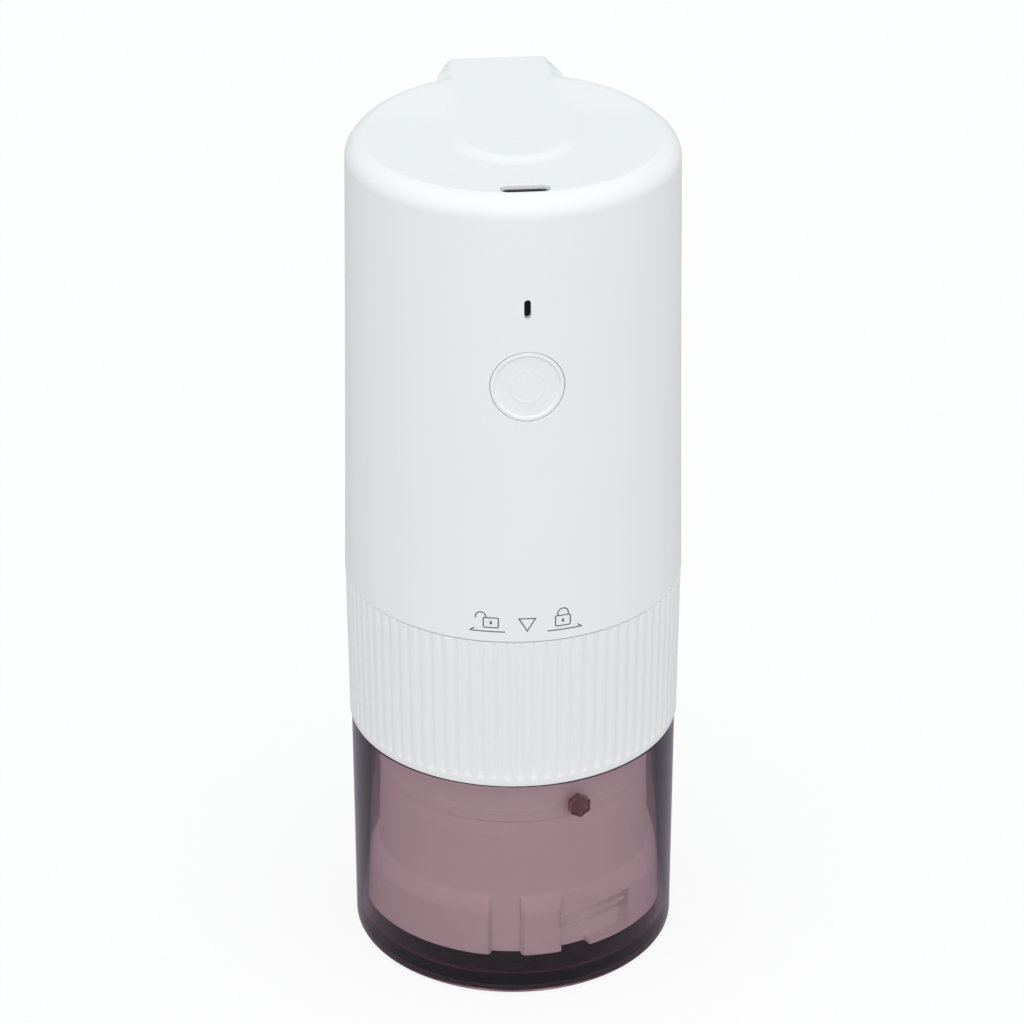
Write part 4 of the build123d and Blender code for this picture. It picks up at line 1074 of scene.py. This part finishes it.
def burrHousing():
    # outer surface r(a, z) = turned outline, lowered to the cuts' floors, and closed by the turned bore
    look = housingShape
    low, top, ring = housingLow[2] + look["footUp"], housingHigh[2], housingHigh[0] + look["ringOut"]
    barrel, bead, band = ring - look["barrelIn"], ring - look["beadIn"], ring - look["bandIn"]
    beadZ, ringTop = look["beadZ"], low + look["ringHeight"]
    beadLow, beadTop, shoulder = beadZ - 0.5, beadZ + look["beadHeight"], ringTop + look["shoulder"]
    outline = roundedOutline([
        [ring - 0.3, low, 0], [ring, low + 0.3, 0.25], [ring, ringTop, 1.2], [barrel, shoulder, 1.4],
        [barrel, beadLow - look["cove"], 1.2], [bead - 0.5, beadLow, 0.25], [bead, beadZ, 0.2],
        [bead, beadTop, 0.25], [band, beadTop + 0.5, 0.25], [band, top, 0]], 6, closed=False)
    third = 120.0
    notchLow, notchHigh, notchDepth = look["notch"]
    shelfLow, shelfTop, shelfFloor = look["shelf"]
    underLow, underFloor = look["undercut"]
    lipZ, underLow, shelfLow, shelfTop, trackTop = (
        low + rise for rise in (look["lip"], underLow, shelfLow, shelfTop, look["trackTop"]))
    edges = [notchLow, notchHigh, look["track"][0], look["mouth"][1], look["track"][1]]
    turn = crowded(-60, 60, 100, edges, 0.3)[:-1]
    degrees = np.concatenate([turn, turn + third, turn + 2 * third])
    z = crowded(low, top, 44, [lipZ, underLow, shelfLow, shelfTop, trackTop], 0.12)
    z = np.unique(np.concatenate([z[z <= top], outline[:, 1]]))[:, None]
    local = (np.mod(degrees + 60, third) - 60)[None, :]
    inTrack = window(local, *look["track"], 0.35)
    inMouth = window(local, *look["mouth"], 0.35)
    overMouth = window(local, look["mouth"][0] + 2, look["mouth"][1], 4.0, 7.0)
    onRing = z < shoulder
    # each cut's floor, and where it reaches
    cuts = [
        (ring - notchDepth, window(local, notchLow, notchHigh, 0.5) * onRing),
        (shelfFloor, inTrack * window(z, shelfLow, shelfTop, 0.1)),
        (look["opening"], overMouth * (z > shelfLow - 0.2) * onRing),
        (look["recess"], inTrack * window(z, shelfTop, trackTop, 0.15)),
        (look["recess"], inTrack * window(z, lipZ, shelfLow, 0.15)),
        (underFloor, inTrack * window(z, underLow, shelfLow, 0.1)),
        (look["recess"], inMouth * (z < shelfLow)),
    ]
    radius = np.interp(z, outline[:, 1], outline[:, 0]) + 0 * degrees
    for floor, share in cuts:
        radius = radius - np.maximum(radius - floor, 0) * share
    closing = [(band, top, 0)] + [(seat, top - drop, rounding) for seat, drop, rounding in look["seats"]]
    closing += [(look["bore"] + out, low + rise, 0) for out, rise in look["clipRidge"]]
    closing = roundedOutline(closing, 3, closed=False)[1:]
    angle = np.radians(degrees)[None, :]
    rows = np.concatenate([radius, closing[:, :1] + 0 * angle])
    points = around(rows, angle, np.concatenate([z, closing[:, 1:]]))
    return meshOf("burr_housing_skin", [skin(points, True)], 38.0)


addPiece("burr_housing_skin", burrHousing(), "head", slots["burr_housing"], ["burr_housing"])


stageLook = {
    "reach": 3.0,
    "paper": srgb(250, 250, 250),  # as the camera sees it
    "bounce": srgb(172, 173, 175),  # as it lights the object
    "mirrored": srgb(190, 179, 190),  # as it shows in the object's gloss
    "through": srgb(128, 119, 138),  # as it shows through the cup
    "whiteness": 0.85,  # share of the camera's own view of the floor that is plain white
}


def addFloor():
    # matt paper that is nearly white to the camera and keeps the object's shadow
    look = stageLook
    reach = look["reach"]
    mesh = bpy.data.meshes.new("floor")
    ends = [(-reach, -reach, 0), (reach, -reach, 0), (reach, reach, 0), (-reach, reach, 0)]
    mesh.from_pydata(ends, [], [(0, 1, 2, 3)])
    floor = placed("floor", mesh)
    material, wire, place = newMaterial("floor paper")
    straight = wire.ray("Is Camera Ray")
    direct = wire.ray("Diffuse Depth") < 0.5
    through = wire.ray("Is Transmission Ray") * direct
    glossy = wire.ray("Is Glossy Ray") * direct
    unseen = through.blend(glossy.blend(look["bounce"], look["mirrored"]), look["through"])
    colour = straight.blend(unseen, look["paper"])
    fibre = wire.noise(place, 700.0)
    matt = wire.node("ShaderNodeBsdfDiffuse", {}, {"Color": colour, "Normal": wire.bump(fibre, 0.00002)})
    glow = wire.node("ShaderNodeEmission", {}, {"Color": white, "Strength": 1.0})
    share = straight * look["whiteness"]
    mixed = wire.node("ShaderNodeMixShader", {}, {0: share, 1: matt, 2: glow})
    output(wire.tree, "ShaderNodeOutputMaterial", mixed)
    mesh.materials.append(material)


worldLook = {
    "even": (0.99, 1.012, 1.024),
    "front": (0.543, 0.498, 0.468),
    "right": 0.03,
    "frontTurn": 4.8,  # how far the brightest side is turned to the left of the front, in degrees
}


def addWorld():
    # soft surroundings: each colour's brightness = even + front x (how far the direction points to the front)
    # + right x (how far it points to the right)
    world = bpy.data.worlds.new("studio")
    bpy.context.scene.world = world
    world.use_nodes = True
    world.node_tree.nodes.clear()
    wire = Wire(world.node_tree)
    way = wire.node("ShaderNodeTexCoord", output="Generated")
    turn = math.radians(worldLook["frontTurn"])
    facing = way.part(0) * -math.sin(turn) + way.part(1) * -math.cos(turn)
    aside = way.part(0) * worldLook["right"]
    levels = [facing * front + aside + even for even, front in zip(worldLook["even"], worldLook["front"])]
    colour = wire.node("ShaderNodeCombineColor", {}, {0: levels[0], 1: levels[1], 2: levels[2]})
    soft = wire.node("ShaderNodeBackground", {}, {"Color": colour, "Strength": 1.0})
    bright = wire.node("ShaderNodeBackground", {}, {"Color": white, "Strength": 1.0})
    mixed = wire.node("ShaderNodeMixShader", {}, {0: wire.ray("Is Camera Ray"), 1: soft, 2: bright})
    output(world.node_tree, "ShaderNodeOutputWorld", mixed)


viewLook = {
    "target": 102.5,  # height of the point that it looks at
    "distance": 811.4,
    "elevation": 27.88,
    "yaw": 4.8,
    "lens": 130.7,
    "shift": -0.0011,
}


def aim(thing, spot, target):
    # puts a camera or lamp in its place, looking at the target
    thing.location = spot
    thing.rotation_euler = (target - spot).to_track_quat("-Z", "Y").to_euler()


def addCamera():
    # at a distance from its target, raised by the elevation and turned to the left of the front by the yaw
    lift, yaw = math.radians(viewLook["elevation"]), math.radians(viewLook["yaw"])
    target = Vector((0, 0, viewLook["target"])) * mm
    way = Vector((-math.cos(lift) * math.sin(yaw), -math.cos(lift) * math.cos(yaw), math.sin(lift)))
    lens = bpy.data.cameras.new("camera")
    lens.lens = viewLook["lens"]
    lens.sensor_width = 36
    lens.clip_start = 0.01
    lens.shift_x = viewLook["shift"]
    camera = placed("camera", lens)
    aim(camera, target + way * viewLook["distance"] * mm, target)
    bpy.context.scene.camera = camera


lampLook = {"place": (-0.5, -0.9, 1.0), "target": (0, 0, 0.1), "size": 0.8, "power": 0.1}


def addLamp():
    # weak square lamp in front, to the left and above
    lamp = bpy.data.lights.new("key", "AREA")
    lamp.size = lampLook["size"]
    lamp.energy = lampLook["power"]
    aim(placed("key", lamp), Vector(lampLook["place"]), Vector(lampLook["target"]))


addFloor()
addWorld()
addCamera()
addLamp()
bpy.context.scene.view_settings.view_transform = "Standard"
print("stage, light and camera set")
